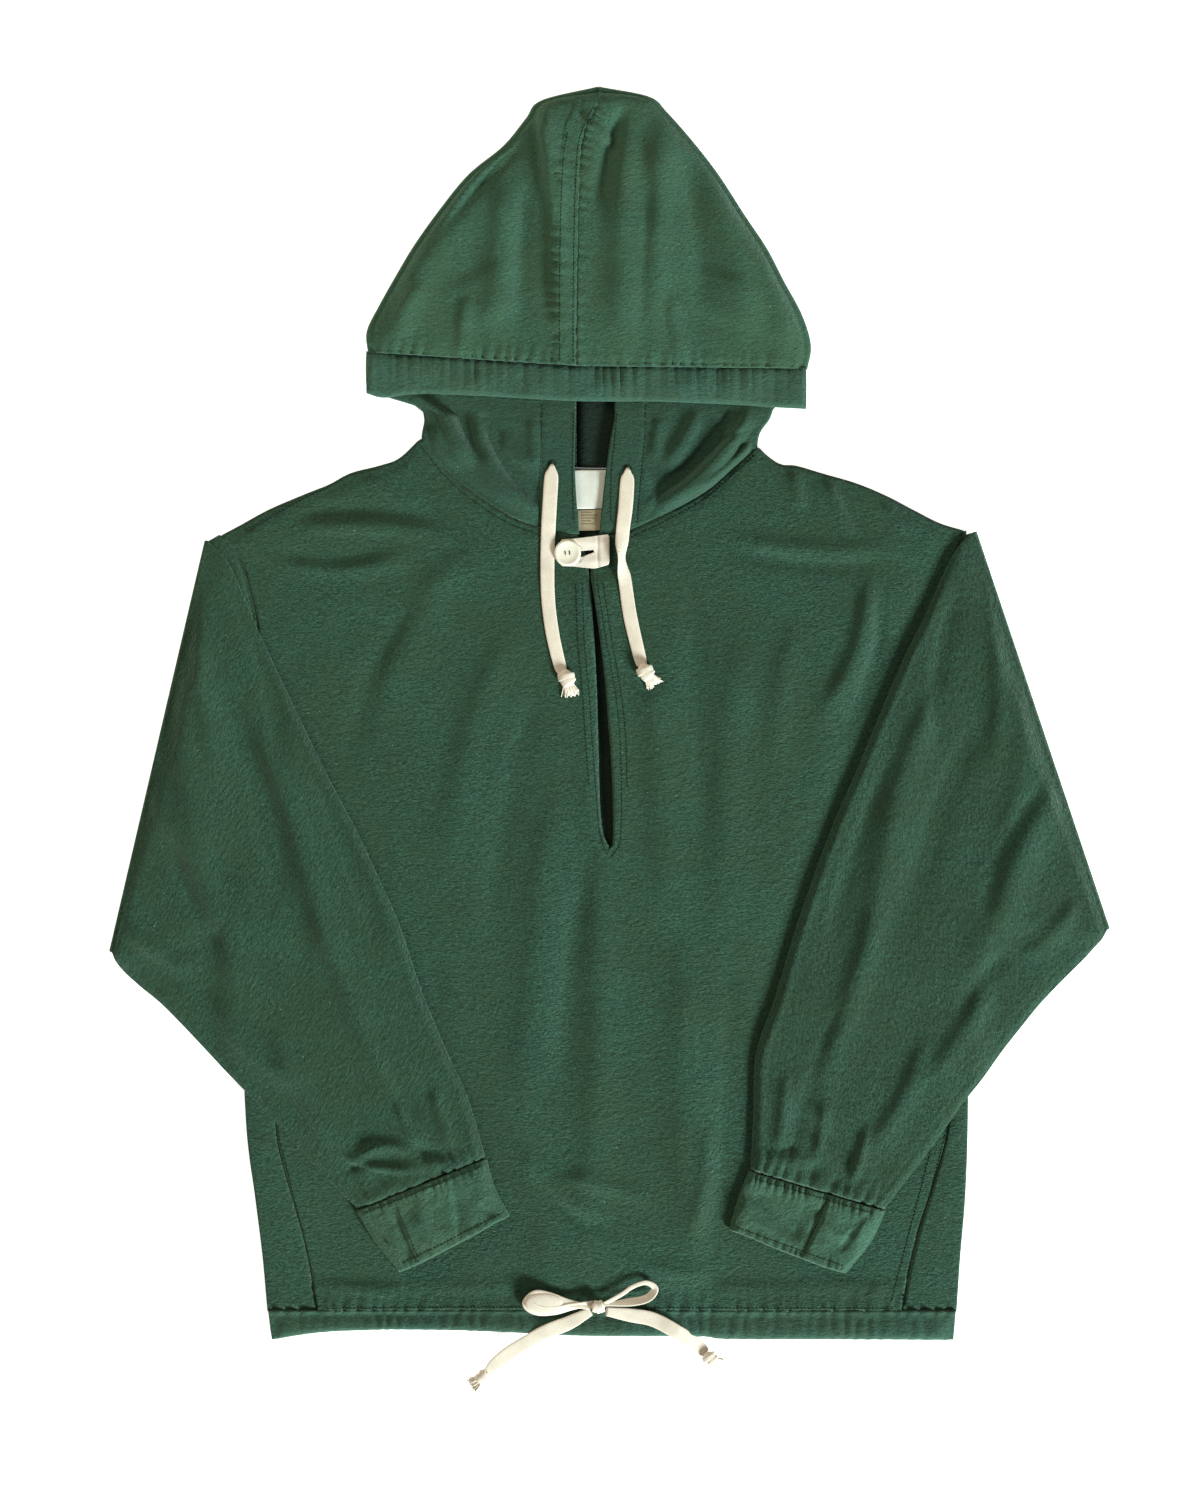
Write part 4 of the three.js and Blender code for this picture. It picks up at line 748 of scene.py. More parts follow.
def sleeve_grid(side):
    inward = 1 if side == "left" else -1
    start = SLEEVES[side][0]
    share, level, beyond = around_tube(int(96 / COARSE), 7, int(34 / COARSE))
    fold_a, fold_b = np.array(start[:2], float), np.array(start[2:], float)
    along_fold = (fold_b - fold_a) / np.linalg.norm(fold_b - fold_a)
    outward = np.array([along_fold[1] * inward, -along_fold[0] * inward])
    rings = []

    def line(a, b, reach=0.9):
        run = b - a
        length = np.linalg.norm(run)
        t = share + beyond * reach / length
        return a[0] + run[0] * t, a[1] + run[1] * t

    stub_rings, turn_rings, length_rings = 6, 9, int(150 / COARSE)
    lead = 2 * SLEEVE_HALF + GAP / 2
    for k in range(stub_rings):
        y = mix(142.0, -149.0, share)
        seam_here = side_x(y, side) - inward * 0.9
        fold_x, fold_y = line(fold_a, fold_b)
        t = k / stub_rings
        rings.append(grid_of(mix(seam_here, fold_x, t), mix(y - beyond, fold_y, t), SLEEVE_HALF - level * SLEEVE_HALF + 0.02))
    for k in range(turn_rings):
        angle = math.pi * k / turn_rings
        fold_x, fold_y = line(fold_a, fold_b)
        out = lead / 2 + level * SLEEVE_HALF
        reach = out * math.sin(angle)
        rings.append(grid_of(fold_x + outward[0] * reach, fold_y + outward[1] * reach, lead - out * math.cos(angle)))
    for k in range(length_rings + 1):
        t = (k / length_rings) ** 1.15
        row = at_row(SLEEVES[side], t)
        a, b = np.array(row[:2]), np.array(row[2:])
        x, y = line(a, b, 1.1)
        wide = np.linalg.norm(b - a)
        floor = SLEEVE_BASE * (1 - ease(outside(BED[side], x, y), 3, 26))
        rise = sleeve_rise(side, x, y, share, t, wide) * (level > 0)
        edge_roll = 1.0 * ease(t, 0.0, 0.1)
        z = floor + SLEEVE_HALF + edge_roll * 0.5 + level * (SLEEVE_HALF + edge_roll * 0.5) + rise
        rings.append(grid_of(x, y, z))
    tuck = rings[-1].copy()
    heading = tuck[:, :2].mean(axis=0) - rings[-5][:, :2].mean(axis=0)
    tuck[:, :2] += 2.6 * heading / np.linalg.norm(heading)
    tuck[:, 2] -= 0.8 * (level > 0)
    rings.append(tuck)
    return np.stack(rings)


sleeve_pieces = {}
for side in ("left", "right"):
    grid = sleeve_grid(side)
    piece = shell("sleeve_" + side + "_cloth", [grid], wrap=True, flip=side == "right")
    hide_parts("sleeve_" + side)
    sleeve_pieces[side] = piece
    print(piece.name, len(piece.data.polygons), "faces")

# %% [markdown]
# The cuffs are doubled cloth, closed with a lap. A lap is one end of the cuff lying over the other, so a step runs
# down the cuff.

# %% The cuffs
CUFF_LAPS = {"left": [(-182, -371.5), (-171, -396), (-155, -434)], "right": [(175.5, -387), (167.6, -408), (156.5, -429)]}


CUFF_FOLDS = {
    "left": [
        (-126, -374, -119, -424, -1, 2.5, 7, -1.2), (-153, -385, -138, -426, 2, 7, 7, 1.4), (-173, -388, -156, -434, 1, 5, 2.2, -1.2),
        (-191, -406, -176, -422, 0, 1.1, 1.1, -1.8), (-112, -362, -92, -392, 2, 6, 7, 1.2), (-104, -392, -92, -402, 0, 3, 3, -0.9),
        (-186, -386, -170, -404, 1, 3, 4, 0.9), (-150, -418, -134, -430, 0, 3, 3, 0.8), (-196, -398, -182, -396, 1, 3, 3, -0.8),
    ],
    "right": [
        (107, -380, 153, -418, -3, 6, 11, -1.9), (174, -384, 157, -429, 1, 3.5, 2.0, -0.9), (194, -412, 183, -430, 0, 3, 4, -1.2),
        (184, -392, 200, -402, 1, 4, 3, 1.1), (120, -372, 160, -384, -2, 6, 6, 1.0), (206, -402, 196, -424, 1, 3, 4, 0.9),
        (168, -404, 190, -420, 1, 4, 4, 1.0), (112, -404, 150, -424, -1, 3, 5, 0.8),
    ],
}


def cuff_grid(side):
    share, level, beyond = around_tube(int(112 / COARSE), 7, int(24 / COARSE))
    rings = []
    count = int(48 / COARSE)
    seam = [(CUFFS[side][0][0], CUFFS[side][0][1]), (CUFFS[side][0][2], CUFFS[side][0][3])]
    last = [(CUFFS[side][-1][0], CUFFS[side][-1][1]), (CUFFS[side][-1][2], CUFFS[side][-1][3])]
    for k in range(count + 1):
        t = k / count
        row = at_row(CUFFS[side], t)
        a, b = np.array(row[:2]), np.array(row[2:])
        run = b - a
        wide = np.linalg.norm(run)
        part = share + beyond * 1.6 / wide
        drop = np.array([run[1], -run[0]]) / wide
        if drop[1] > 0:
            drop = -drop
        back = 0.5 * (k == 0)
        wavy = 0.9 * ripple(40 * share, 0 * share + 30 * t, 9, 65) * ease(t, 0.5, 1.0) + 1.1 * ease(t, 0.6, 1.0) * np.sin(np.pi * share)
        x = a[0] + run[0] * part + drop[0] * (wavy - back)
        y = a[1] + run[1] * part + drop[1] * (wavy - back)
        edge = np.minimum(share, 1 - share) * wide
        rim = min(1.0, (1 - t) * wide * 0.55 / 2.2 + 0.45, 0.74 + 0.26 * ease(t, -0.02, 0.08))
        soft = 1.1 * ripple(x, y, 19, 61) + 0.6 * ripple(x, y, 8, 62) + 1.6 * fold_height(CUFF_FOLDS[side], x, y)
        soft = soft * (0.1 + 0.9 * ease(t, 0.0, 0.3))
        small = puckers(seam, x, y, 6.2, 9, 1.9, 63) + puckers(last, x, y, 6.5, 7, 1.0, 64)
        lap = CUFF_LAPS[side]
        away, hand, _ = nearest_on(lap, x, y)
        over = -hand if side == "left" else -hand
        step = 1.5 * ease(over * away, -1.3, 1.0)
        sewn = -0.2 * math.exp(-(((t - 0.88) * 52 / 1.2) ** 2)) - 0.4 * math.exp(-(((t - 0.05) * 52 / 1.2) ** 2))
        rise = (2.8 + soft + small + step + sewn) * (1 - np.exp(-edge / 3.0)) * (level > 0)
        half = 2.0 * rim
        rings.append(grid_of(x, y, SLEEVE_BASE + 0.2 + 2.0 + level * half + np.maximum(rise, 0.0) * rim))
    return np.stack(rings)


cuff_pieces = {}
for side in ("left", "right"):
    piece = shell("cuff_" + side + "_cloth", [cuff_grid(side)], thickness=1.6, wrap=True, flip=side == "right")
    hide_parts("cuff_" + side)
    cuff_pieces[side] = piece
    print(piece.name, len(piece.data.polygons), "faces")

# %% [markdown]
# The hood lies on its back with its face opening drawn down over the neck. Each half is a back layer, a turn at the
# outline and a top layer, in one grid that fans out from the centre seam. Long soft folds run from the crown.

# %% Hood tables
HOOD_ROWS = [  # seam x, seam y, left x, left y, right x, right y
    (-26.5, 277, -192, 288, 157, 275), (-26.5, 300, -193, 305, 160, 294), (-26.4, 325, -184, 324, 153, 318),
    (-26, 350, -170, 349, 138, 346), (-25.5, 375, -155, 374, 125, 371), (-25, 400, -135, 402, 107, 398),
    (-24.5, 422, -112, 430, 87, 429), (-24, 442, -84, 453, 67, 455), (-21, 460, -66, 475, 45, 480),
    (-13, 474, -54, 489, 31, 492), (-9, 484, -9, 500, -9, 500),
]
HOOD_FOLDS = [
    (-55, 486, -43, 398, -1, 5, 10, 8.0), (-43, 420, -38, 300, 2, 6, 12, 4.92), (-66, 468, -138, 382, 5, 12, 5, 7.39),
    (-74, 452, -146, 366, 6, 9, 7, -5.54), (-122, 402, -166, 306, 6, 13, 18, 4.31), (-86, 424, -96, 300, -4, 10, 14, 4.62),
    (-66, 420, -70, 310, 3, 8, 10, -3.7), (12, 486, -8, 400, 4, 7, 9, -4.6), (34, 430, 26, 290, 2, 6, 7, -3.2),
    (15, 470, 13, 296, 3, 13, 14, 7.4), (44, 468, 34, 300, 5, 11, 16, 7.08), (80, 430, 112, 300, -5, 14, 18, 5.84),
    (60, 440, 74, 310, -4, 8, 10, -3.07), (120, 366, 142, 292, -3, 8, 11, 3.7), (-150, 340, -176, 292, 3, 7, 9, 3.38),
    (-62, 462, -96, 410, 3, 20, 24, -3.3), (14, 476, 34, 392, 4, 20, 16, -3.11), (-110, 350, -92, 312, 0, 30, 34, 2.53),
    (96, 350, 84, 312, 0, 30, 34, 2.33), (-112, 330, -118, 286, 2, 5, 7, 3.07), (50, 330, 60, 282, 2, 5, 7, 3.07), (-20, 476, 2, 452, 1, 3, 4, 4.62),
]
HOOD_SEAM = [(-8, 500), (-10, 484), (-20, 463), (-23.5, 442), (-25.5, 394), (-26.5, 330), (-26.5, 277)]
HOOD_FELL = [(x - 15.5, y) for x, y in HOOD_SEAM[2:]]
HOOD_STITCH = [(-192, 289.6), (-128, 285.6), (-56, 280.4), (-26.5, 278.6), (31, 279), (100, 278), (157, 276.8)]


def hood_height(x, y):
    """Upper face of the hood's top layer, away from its rolled edge."""
    rise = 5.2 + fold_height(HOOD_FOLDS, x, y)
    rise = rise + 0.5 * ripple(x, y, 48, 81, 0.8) + 0.3 * ripple(x, y, 21, 82) + 0.13 * ripple(x, y, 9, 83)
    away, hand, _ = nearest_on(HOOD_SEAM, x, y)
    rise = rise - 1.0 * np.exp(-((away / 1.6) ** 2))
    fell = (x < -24) & (away < 16.5)
    rise = rise + 0.7 * fell * ease(16.5 - away, 0, 1.5)
    rise = rise + puckers(HOOD_SEAM, x, y, 8.5, 9, 1.5, 84, -1) + puckers(HOOD_FELL, x, y, 8, 8, 1.5, 85)
    rise = rise + puckers(HOOD_SEAM, x, y, 14, 16, 0.7, 87, 1) + puckers(HOOD_STITCH, x, y, 10, 10, 1.6, 86)
    drawn_in, _, _ = nearest_on(HOOD_STITCH, x, y)
    rise = rise - 1.2 * np.exp(-((drawn_in / 2.4) ** 2))
    return LAYER * 2 + CLOTH + np.clip(rise, 0.1, 13.0)


def hood_grid(side):
    seam_gap = -0.01 if side == "left" else 0.01
    columns = (2, 3) if side == "left" else (4, 5)
    back, bend, top = int(22 / COARSE), 9, int(82 / COARSE)
    rows = []
    count = int(96 / COARSE)
    backset = 4.0
    for k in range(count + 1):
        row = at_row(HOOD_ROWS, k / count)
        seam = np.array([row[0] + seam_gap, row[1]])
        rim = np.array([row[columns[0]], row[columns[1]]])
        run = rim - seam
        length = float(np.linalg.norm(run))
        unit = run / length
        inner = max(length - backset, 1.0)
        flat_part = [(inner * i / back, 0.02) for i in range(back + 1)]
        high_edge = LAYER * 2 + CLOTH
        middle = high_edge / 2
        turn_part = []
        for i in range(1, bend):
            angle = math.pi * i / bend
            turn_part.append((inner + min(backset, length * 0.5) * math.sin(angle), middle - middle * math.cos(angle)))
        spots = np.linspace(inner, 0, top + 1)
        px = seam[0] + unit[0] * spots
        py = seam[1] + unit[1] * spots
        near = 1 - np.exp(-(inner - spots) / 6.0)
        heights = mix(high_edge, hood_height(px, py), near)
        strip = [(seam[0] + unit[0] * d, seam[1] + unit[1] * d, z) for d, z in flat_part + turn_part]
        strip += list(zip(px, py, heights))
        rows.append(strip)
    return np.array(rows)


hood_pieces = {}
for side in ("left", "right"):
    piece = shell("hood_" + side + "_upper", [hood_grid(side)], flip=side == "left")
    hood_pieces[side] = piece
    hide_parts("hood_" + side)
    print(piece.name, len(piece.data.polygons), "faces")

# %% [markdown]
# Below the hem of the hood its sides come down to the neckline. They end in the front bands, the two channels that the
# drawcords leave through their holes. Between the bands the inside of the back shows, with the bare label.

# %% The hood's lower sides
NECK_ROWS = [  # y, side x, band x, right side x, right band x
    (141, -150, -24, 117, -8.4), (160, -150, -25.6, 117, -6.6), (195, -149, -27.8, 117, -2.8), (221, -149, -27.4, 118, 1), (236, -147, -27, 127, 4),
    (246, -153, -27, 132, 4), (256, -182, -27, 150, 4), (268, -190, -27, 154, 4), (300, -188, -27, 155, 4),
]
NECK_FOLDS = [
    (-106, 238, -58, 161, -7, 1.6, 4, -3.6), (108, 226, 32, 158, 9, 2.0, 4.5, -3.4), (-138, 214, -66, 158, 9, 2.4, 4, -2.2),
    (-134, 252, -110, 200, 3, 6, 5, 7.69), (-122, 250, -100, 204, 3, 4, 5, -4.1), (-108, 232, -58, 160, 8, 8, 5, 7.19),
    (-98, 236, -56, 172, 7, 5, 5, -4.35), (-88, 222, -62, 196, 2, 6, 7, 4.1), (110, 238, 34, 164, -9, 5, 8, 8.21),
    (96, 240, 36, 176, -8, 5, 5, -4.62), (120, 226, 70, 178, -6, 4, 6, 6.16), (70, 240, 44, 196, -3, 6, 7, 3.86),
    (-140, 228, -122, 196, 2, 4, 5, 3.09), (40, 236, 36, 200, 0, 4, 6, 2.56), (-62, 236, -58, 190, 0, 5, 6, 2.3),
]
NECK_TOP = 298.0
BAND_WIDE = 27.0
BAND_STITCH = {"left": [(-54, 247), (-54.6, 215), (-55.6, 190), (-56.5, 152)], "right": [(29, 247), (27.6, 215), (25.4, 190), (22, 150)]}
EYELETS = {"left": (-45.6, 198), "right": (14.6, 194.5)}


def neck_height(side, x, y):
    rise = fold_height(NECK_FOLDS, x, y) + 0.4 * ripple(x, y, 30, 91) + 0.25 * ripple(x, y, 12, 92)
    away, hand, _ = nearest_on(BAND_STITCH[side], x, y)
    beyond = x > np.interp(-y, [-247, -215, -190, -152], [p[0] for p in BAND_STITCH[side]])
    on_band = beyond if side == "left" else ~beyond
    rise = np.where(on_band, 0.25 + 0.35 * ripple(x, y, 13, 93) * ease(y, 203, 215), rise) - 0.6 * np.exp(-((away / 1.3) ** 2))
    rise = rise + puckers(BAND_STITCH[side], x, y, 7, 8, 0.7, 94) * ease(y, 205, 222)
    low = front_top(x)
    rise = (rise + 1.0) * ease(y, low, low + 5.5)
    eye_x, eye_y = EYELETS[side]
    hole = np.hypot(x - eye_x, (y - eye_y) * 1.2)
    rise = rise - 0.9 * np.exp(-((hole / 2.4) ** 2))
    covered = 1 - 0.85 * ease(y, 240, 250)
    return TOP + 0.05 + np.clip(rise * covered, -0.6, 8.5)


def neck_grid(side):
    side_column, band_column = (1, 2) if side == "left" else (3, 4)
    outward = -1 if side == "left" else 1
    centre = -26.5 + (-0.01 if side == "left" else 0.01)
    back, bend, front = int(18 / COARSE), 7, int(76 / COARSE)
    v = np.linspace(0, 1, int(70 / COARSE))
    columns = []
    lines = {c: smooth_line(NECK_ROWS, 8) for c in (side_column, band_column)}

    def read_row(y, column):
        line = lines[column]
        return np.interp(y, line[:, 0], line[:, column])

    for k in range(back + bend + front + 1):
        on_back, on_front = k <= back, k >= back + bend
        x = np.full_like(v, read_row(230.0, side_column))
        y = np.zeros_like(v)
        for _ in range(40):
            low = front_top(x) + 0.35 if not on_back else back_top(x) + 0.4
            if on_front:
                low = front_top(x) + 0.35
            y = mix(low, NECK_TOP, v)
            edge = read_row(y, side_column) - outward * 2.4
            if on_back:
                wanted = mix(centre, edge, k / back)
            elif on_front:
                wanted = mix(edge, read_row(y, band_column), (k - back - bend) / front)
            else:
                wanted = edge
            x = 0.5 * x + 0.5 * wanted
        if on_back:
            columns.append(grid_of(x, y, 0.02 * np.ones_like(x)))
        elif on_front:
            near = ease(np.abs(x - edge), 0, 8) if k < back + bend + front else 1.0
            z = mix(TOP, neck_height(side, x, y), near)
            columns.append(grid_of(x, y, z))
        else:
            angle = math.pi * (k - back) / bend
            bulge = outward * 2.6 * math.sin(angle)
            columns.append(grid_of(x + bulge, y, TOP / 2 * (1 - math.cos(angle))))
    return np.stack(columns, axis=1)


neck_pieces = {}
for side in ("left", "right"):
    piece = shell("hood_" + side + "_lower", [neck_grid(side)], flip=side == "left")
    neck_pieces[side] = piece
    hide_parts("hood_" + side)
    print(piece.name, len(piece.data.polygons), "faces")

# %% [markdown]
# The hood's face edge is a stitched channel. The cloth is turned under, so it is double, and the stitching draws it
# into many small puckers across the band. Its lower edge is a soft fold that hangs just over the neck.

# %% The hood's hem
HOOD_HEM = [  # x, edge y, stitched line y
    (-194, 256.5, 289), (-180, 253, 288), (-154, 256.0, 286.6), (-104, 254.6, 283.4), (-60, 252, 280.4), (-26.5, 250.4, 278.2),
    (10, 250, 278.3), (40, 250, 278.4), (100, 247.4, 277.4), (128, 245.6, 277), (157, 244, 276),
]


def hood_hem_grid():
    columns, rows = int(330 / COARSE), int(20 / COARSE) + 4
    u = np.linspace(0, 1, columns)[None, :]
    x = mix(-194.0, 156.8, u)
    edge, stitch = column_at(HOOD_HEM, 0, x, 1), column_at(HOOD_HEM, 0, x, 2)
    turn = np.linspace(0, 1, 7)
    strips = []
    gather = gathers(x + 5.0 * ripple(x, 0 * x, 40, 107), 0 * x, 11.0, 101) + 0.3 * gathers(x, 0 * x, 5.4, 105)
    for t in turn[:-1]:
        angle = math.pi * t
        strips.append(grid_of(x, edge + 1.9 - 1.9 * math.sin(angle), LAYER * 2 + 0.1 + 1.5 * (1 - math.cos(angle))))
    for k in range(rows + 1):
        v = k / rows
        y = mix(edge + 1.9, stitch, v)
        field = gather * (0.30 + 0.70 * v) * (0.75 + 0.6 * ripple(x, 0 * x, 34, 106)) + 0.7 * ripple(x, y, 17, 103)
        swell = math.sin(math.pi * (0.10 + 0.86 * v)) ** 0.7
        closing = math.exp(-(((1 - v) * 26 / 3.0) ** 2))
        z = LAYER * 2 + 3.1 + 1.5 * swell + 1.8 * field * (0.35 + 0.65 * swell) - 1.1 * closing
        strips.append(grid_of(x, y, np.maximum(z, LAYER * 2 + 2.4)))
    under = []
    for v in (0.25, 0.6, 0.96):
        under.append(grid_of(x, mix(edge + 1.9, stitch, v), (LAYER * 2 + 0.1) * np.ones_like(x)))
    ordered = under[::-1] + strips
    grid = np.concatenate(ordered, axis=0)
    side_fall = np.minimum(ease(u[0], 0, 0.012), 1 - ease(u[0], 0.988, 1))
    grid[..., 2] = mix(LAYER * 2 + 1.4, grid[..., 2], 0.25 + 0.75 * side_fall)
    return grid


hood_hem = shell("hood_hem_channel", [hood_hem_grid()], thickness=1.0, flip=True)
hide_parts("hood_hem")
print("hood hem:", len(hood_hem.data.polygons), "faces")

# %% [markdown]
# The small parts come next. Both labels are bare: a white one that is sewn at its short ends and a tan one below it,
# which carries only faint ruled lines. The tab is folded cotton tape with one pointed end, sewn down at its right.

# %% Labels
def patch_grid(corners, columns, rows, height):
    """A four-cornered patch, its corners given round from the lower left."""
    a, b, c, d = (np.array(corner, float) for corner in corners)
    u = np.linspace(0, 1, columns)[None, :, None]
    v = np.linspace(0, 1, rows)[:, None, None]
    plan = mix(mix(a, b, u), mix(d, c, u), v)
    x, y = plan[..., 0], plan[..., 1]
    return grid_of(x, y, height(x, y, u[..., 0], v[..., 0]))


def label_height(x, y, u, v):
    return LAYER + 0.75 + 0.5 * np.sin(np.pi * v) ** 0.5 + 0.22 * ripple(x, y, 12, 111)


def tag_height(x, y, u, v):
    return LAYER + 0.75 + 0.45 * ripple(x, y, 13, 112) * np.sin(np.pi * np.clip(v, 0, 1)) + 0.3 * (1 - v)


neck_label = shell("neck_label_cloth", [patch_grid([(-27.0, 163.6), (-3.4, 163.6), (-1.6, 194.6), (-28.4, 194.8)], 26, 34, label_height)], thickness=0.5)
size_label = shell("size_label_cloth", [patch_grid([(-25, 146.2), (-7.2, 146.2), (-5.4, 163.0), (-26, 163.0)], 24, 20, tag_height)], thickness=0.45)
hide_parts("neck_label")
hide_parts("size_label")
ruled = []
for row, (start, end) in enumerate(((0.14, 0.62), (0.14, 0.80), (0.14, 0.74), (0.14, 0.55), (0.14, 0.70))):
    v = 0.84 - row * 0.155
    u = np.linspace(start, end, 12)
    x = mix(-25.0, -6.4, u)
    y = mix(148.2, 163.0, v) + 0 * u
    z = tag_height(x, y, u, v) + 0.03
    line_section = [(a / 1000, b / 1000) for a, b in flat_section(0.75, 0.12, 6)]
    ruled.append(tube_mesh(metres(x, y, z), line_section))
label_lines = joined("size_label_ruled_lines", ruled)
print("labels:", len(neck_label.data.polygons) + len(size_label.data.polygons), "faces")

# %% [markdown]
# The tab lies across the top of the slit. It is a loop of tape folded flat; its upper layer is made here, with
# a pointed left end and the buttonhole slot in the middle. The button sits on that end.

# %% The tab
TAB_RIM = [
    (-42.4, 128), (-41.6, 133.5), (-38, 139), (-29, 139.5), (-12, 141.6), (-1.2, 143), (0, 140), (0, 121), (-1, 118.6),
    (-12, 115.6), (-30, 117.4), (-38, 117.6), (-41.4, 122.4),
]
TAB_SLOT = [(-38, 131), (-30, 130.8), (-22.6, 129.8), (-13, 130.6), (-12.2, 128.8), (-22.6, 124.9), (-31, 125.2), (-38, 125.6)]
TAB_BASE = 4.15
BUTTON = {"x": -33.5, "y": 128.0, "radius": 10.6, "thick": 2.7}


def tab_height(x, y):
    side_band = np.abs(y - 129) / 11.5
    along = (x + 42) / 42
    bow = 0.5 * np.exp(-(((side_band - 0.65) / 0.3) ** 2))
    waves = 0.22 * ripple(x, y, 9, 121)
    under_button = np.hypot(x - BUTTON["x"], y - BUTTON["y"])
    level = TAB_BASE + 0.85 + bow + waves
    level = level - 0.7 * np.exp(-(((x + 9.2) / 0.8) ** 2)) + 0.4 * ease(x, -9.2, -8.4)
    return np.where(under_button < 12.0, np.minimum(level, TAB_BASE + 1.0), level) + 0.25 * ease(along, 0.8, 1.0)


def plate(name, rim, holes, height, base, cell, thickness):
    """A flat cloth piece with any outline and holes, meshed as a fine grid clipped to the outline."""
    rim = [Vector((x, y, 0)) for x, y in rim]
    work = bmesh.new()
    loops = [rim] + [[Vector((x, y, 0)) for x, y in hole] for hole in holes]
    points = [point for loop in loops for point in loop]
    verts = [work.verts.new(point) for point in points]
    for triple in tessellate_polygon(loops):
        work.faces.new([verts[k] for k in triple])
    xs = [point.x for point in rim]
    ys = [point.y for point in rim]
    for axis, low, high in ((0, min(xs), max(xs)), (1, min(ys), max(ys))):
        steps = int((high - low) / cell)
        for k in range(1, steps):
            spot = Vector((0, 0, 0))
            spot[axis] = low + (high - low) * k / steps
            normal = Vector((0, 0, 0))
            normal[axis] = 1
            geometry = work.verts[:] + work.edges[:] + work.faces[:]
            bmesh.ops.bisect_plane(work, geom=geometry, plane_co=spot, plane_no=normal)
    bmesh.ops.dissolve_degenerate(work, dist=0.01, edges=work.edges[:])
    bmesh.ops.recalc_face_normals(work, faces=work.faces[:])
    xy = np.array([vert.co[:2] for vert in work.verts])
    z = height(xy[:, 0], xy[:, 1])
    places = metres(xy[:, 0], xy[:, 1], z)
    for vert, place in zip(work.verts, places):
        vert.co = place
    if sum(face.normal.z for face in work.faces) < 0:
        bmesh.ops.reverse_faces(work, faces=work.faces[:])
    mesh = bpy.data.meshes.new(name)
    work.to_mesh(mesh)
    work.free()
    mesh.polygons.foreach_set("use_smooth", [True] * len(mesh.polygons))
    piece = bpy.data.objects.new(name, mesh)
    bpy.context.collection.objects.link(piece)
    wall = piece.modifiers.new("cloth", "SOLIDIFY")
    wall.thickness = thickness / 1000
    wall.offset = -1
    return piece


def rounded(rim, parts=4):
    """Round the corners of a closed outline a little."""
    closed = [rim[-1]] + rim + rim[:2]
    found = []
    for a, b, c in zip(closed, closed[1:], closed[2:]):
        a, b, c = (np.array(p, float) for p in (a, b, c))
        reach = min(1.2, np.linalg.norm(b - a) * 0.3, np.linalg.norm(c - b) * 0.3)
        first = b + (a - b) / np.linalg.norm(a - b) * reach
        last = b + (c - b) / np.linalg.norm(c - b) * reach
        for k in range(parts):
            t = k / (parts - 1)
            found.append(tuple((1 - t) ** 2 * first + 2 * t * (1 - t) * b + t * t * last))
    return found[: len(rim) * parts]


tab_upper = plate("tab_loop_upper", rounded(TAB_RIM), [TAB_SLOT], tab_height, TAB_BASE, 1.1, 0.9)
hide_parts("tab_loop")
print("tab:", len(tab_upper.data.polygons), "faces")

# %% [markdown]
# A four-hole button, turned in section. It has a raised rim and a shallow dish, and dark thread crosses its holes.

# %% The button
def button_mesh():
    radius, thick = BUTTON["radius"], BUTTON["thick"]
    profile = [
        (0.0, 0.0), (radius * 0.72, 0.0), (radius * 0.90, 0.25), (radius * 0.985, 0.8), (radius, 1.35), (radius * 0.985, 1.95),
        (radius * 0.94, 2.45), (radius * 0.87, thick), (radius * 0.79, 2.52), (radius * 0.70, 2.28), (radius * 0.60, 2.08),
        (radius * 0.5, 1.92), (radius * 0.3, 1.88), (0.0, 1.86),
    ]
    turns = 72
    points, faces = [], []
    for r, h in profile[1:-1]:
        for k in range(turns):
            angle = 2 * math.pi * k / turns
            points.append((r * math.cos(angle), r * math.sin(angle), h))
    faces = grid_faces(len(profile) - 2, turns, wrap=True)
    low = len(points)
    points += [(0, 0, profile[0][1]), (0, 0, profile[-1][1])]
    last = (len(profile) - 3) * turns
    for k in range(turns):
        faces.append(((k + 1) % turns, k, low))
        faces.append((last + k, last + (k + 1) % turns, low + 1))
    return points, faces


button_points, button_faces = button_mesh()
button_base = TAB_BASE + 1.32
placed = [metres(BUTTON["x"] + x, BUTTON["y"] + y, button_base + z) for x, y, z in button_points]
button = new_object("button_body", placed, button_faces)
HOLE_SPREAD = 1.75
hole_places = [(-HOLE_SPREAD, -HOLE_SPREAD), (HOLE_SPREAD, -HOLE_SPREAD), (HOLE_SPREAD, HOLE_SPREAD), (-HOLE_SPREAD, HOLE_SPREAD)]
cutters = []
for hx, hy in hole_places:
    drill = metres(np.full(2, BUTTON["x"] + hx), np.full(2, BUTTON["y"] + hy), np.array([button_base - 1, button_base + 4]))
    ring = [(a / 1000, b / 1000) for a, b in round_section(1.0, 20)]
    cutters.append(tube_mesh(drill, ring, up=(0, 1, 0)))
cutter = joined("button_drill", cutters)
cut = button.modifiers.new("holes", "BOOLEAN")
cut.operation = "DIFFERENCE"
cut.object = cutter
cut.solver = "EXACT"
apply_modifiers(button)
bpy.data.objects.remove(cutter)
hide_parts("button")
thread_parts = []
thread_ring = [(a / 1000, b / 1000) for a, b in round_section(0.34, 8)]
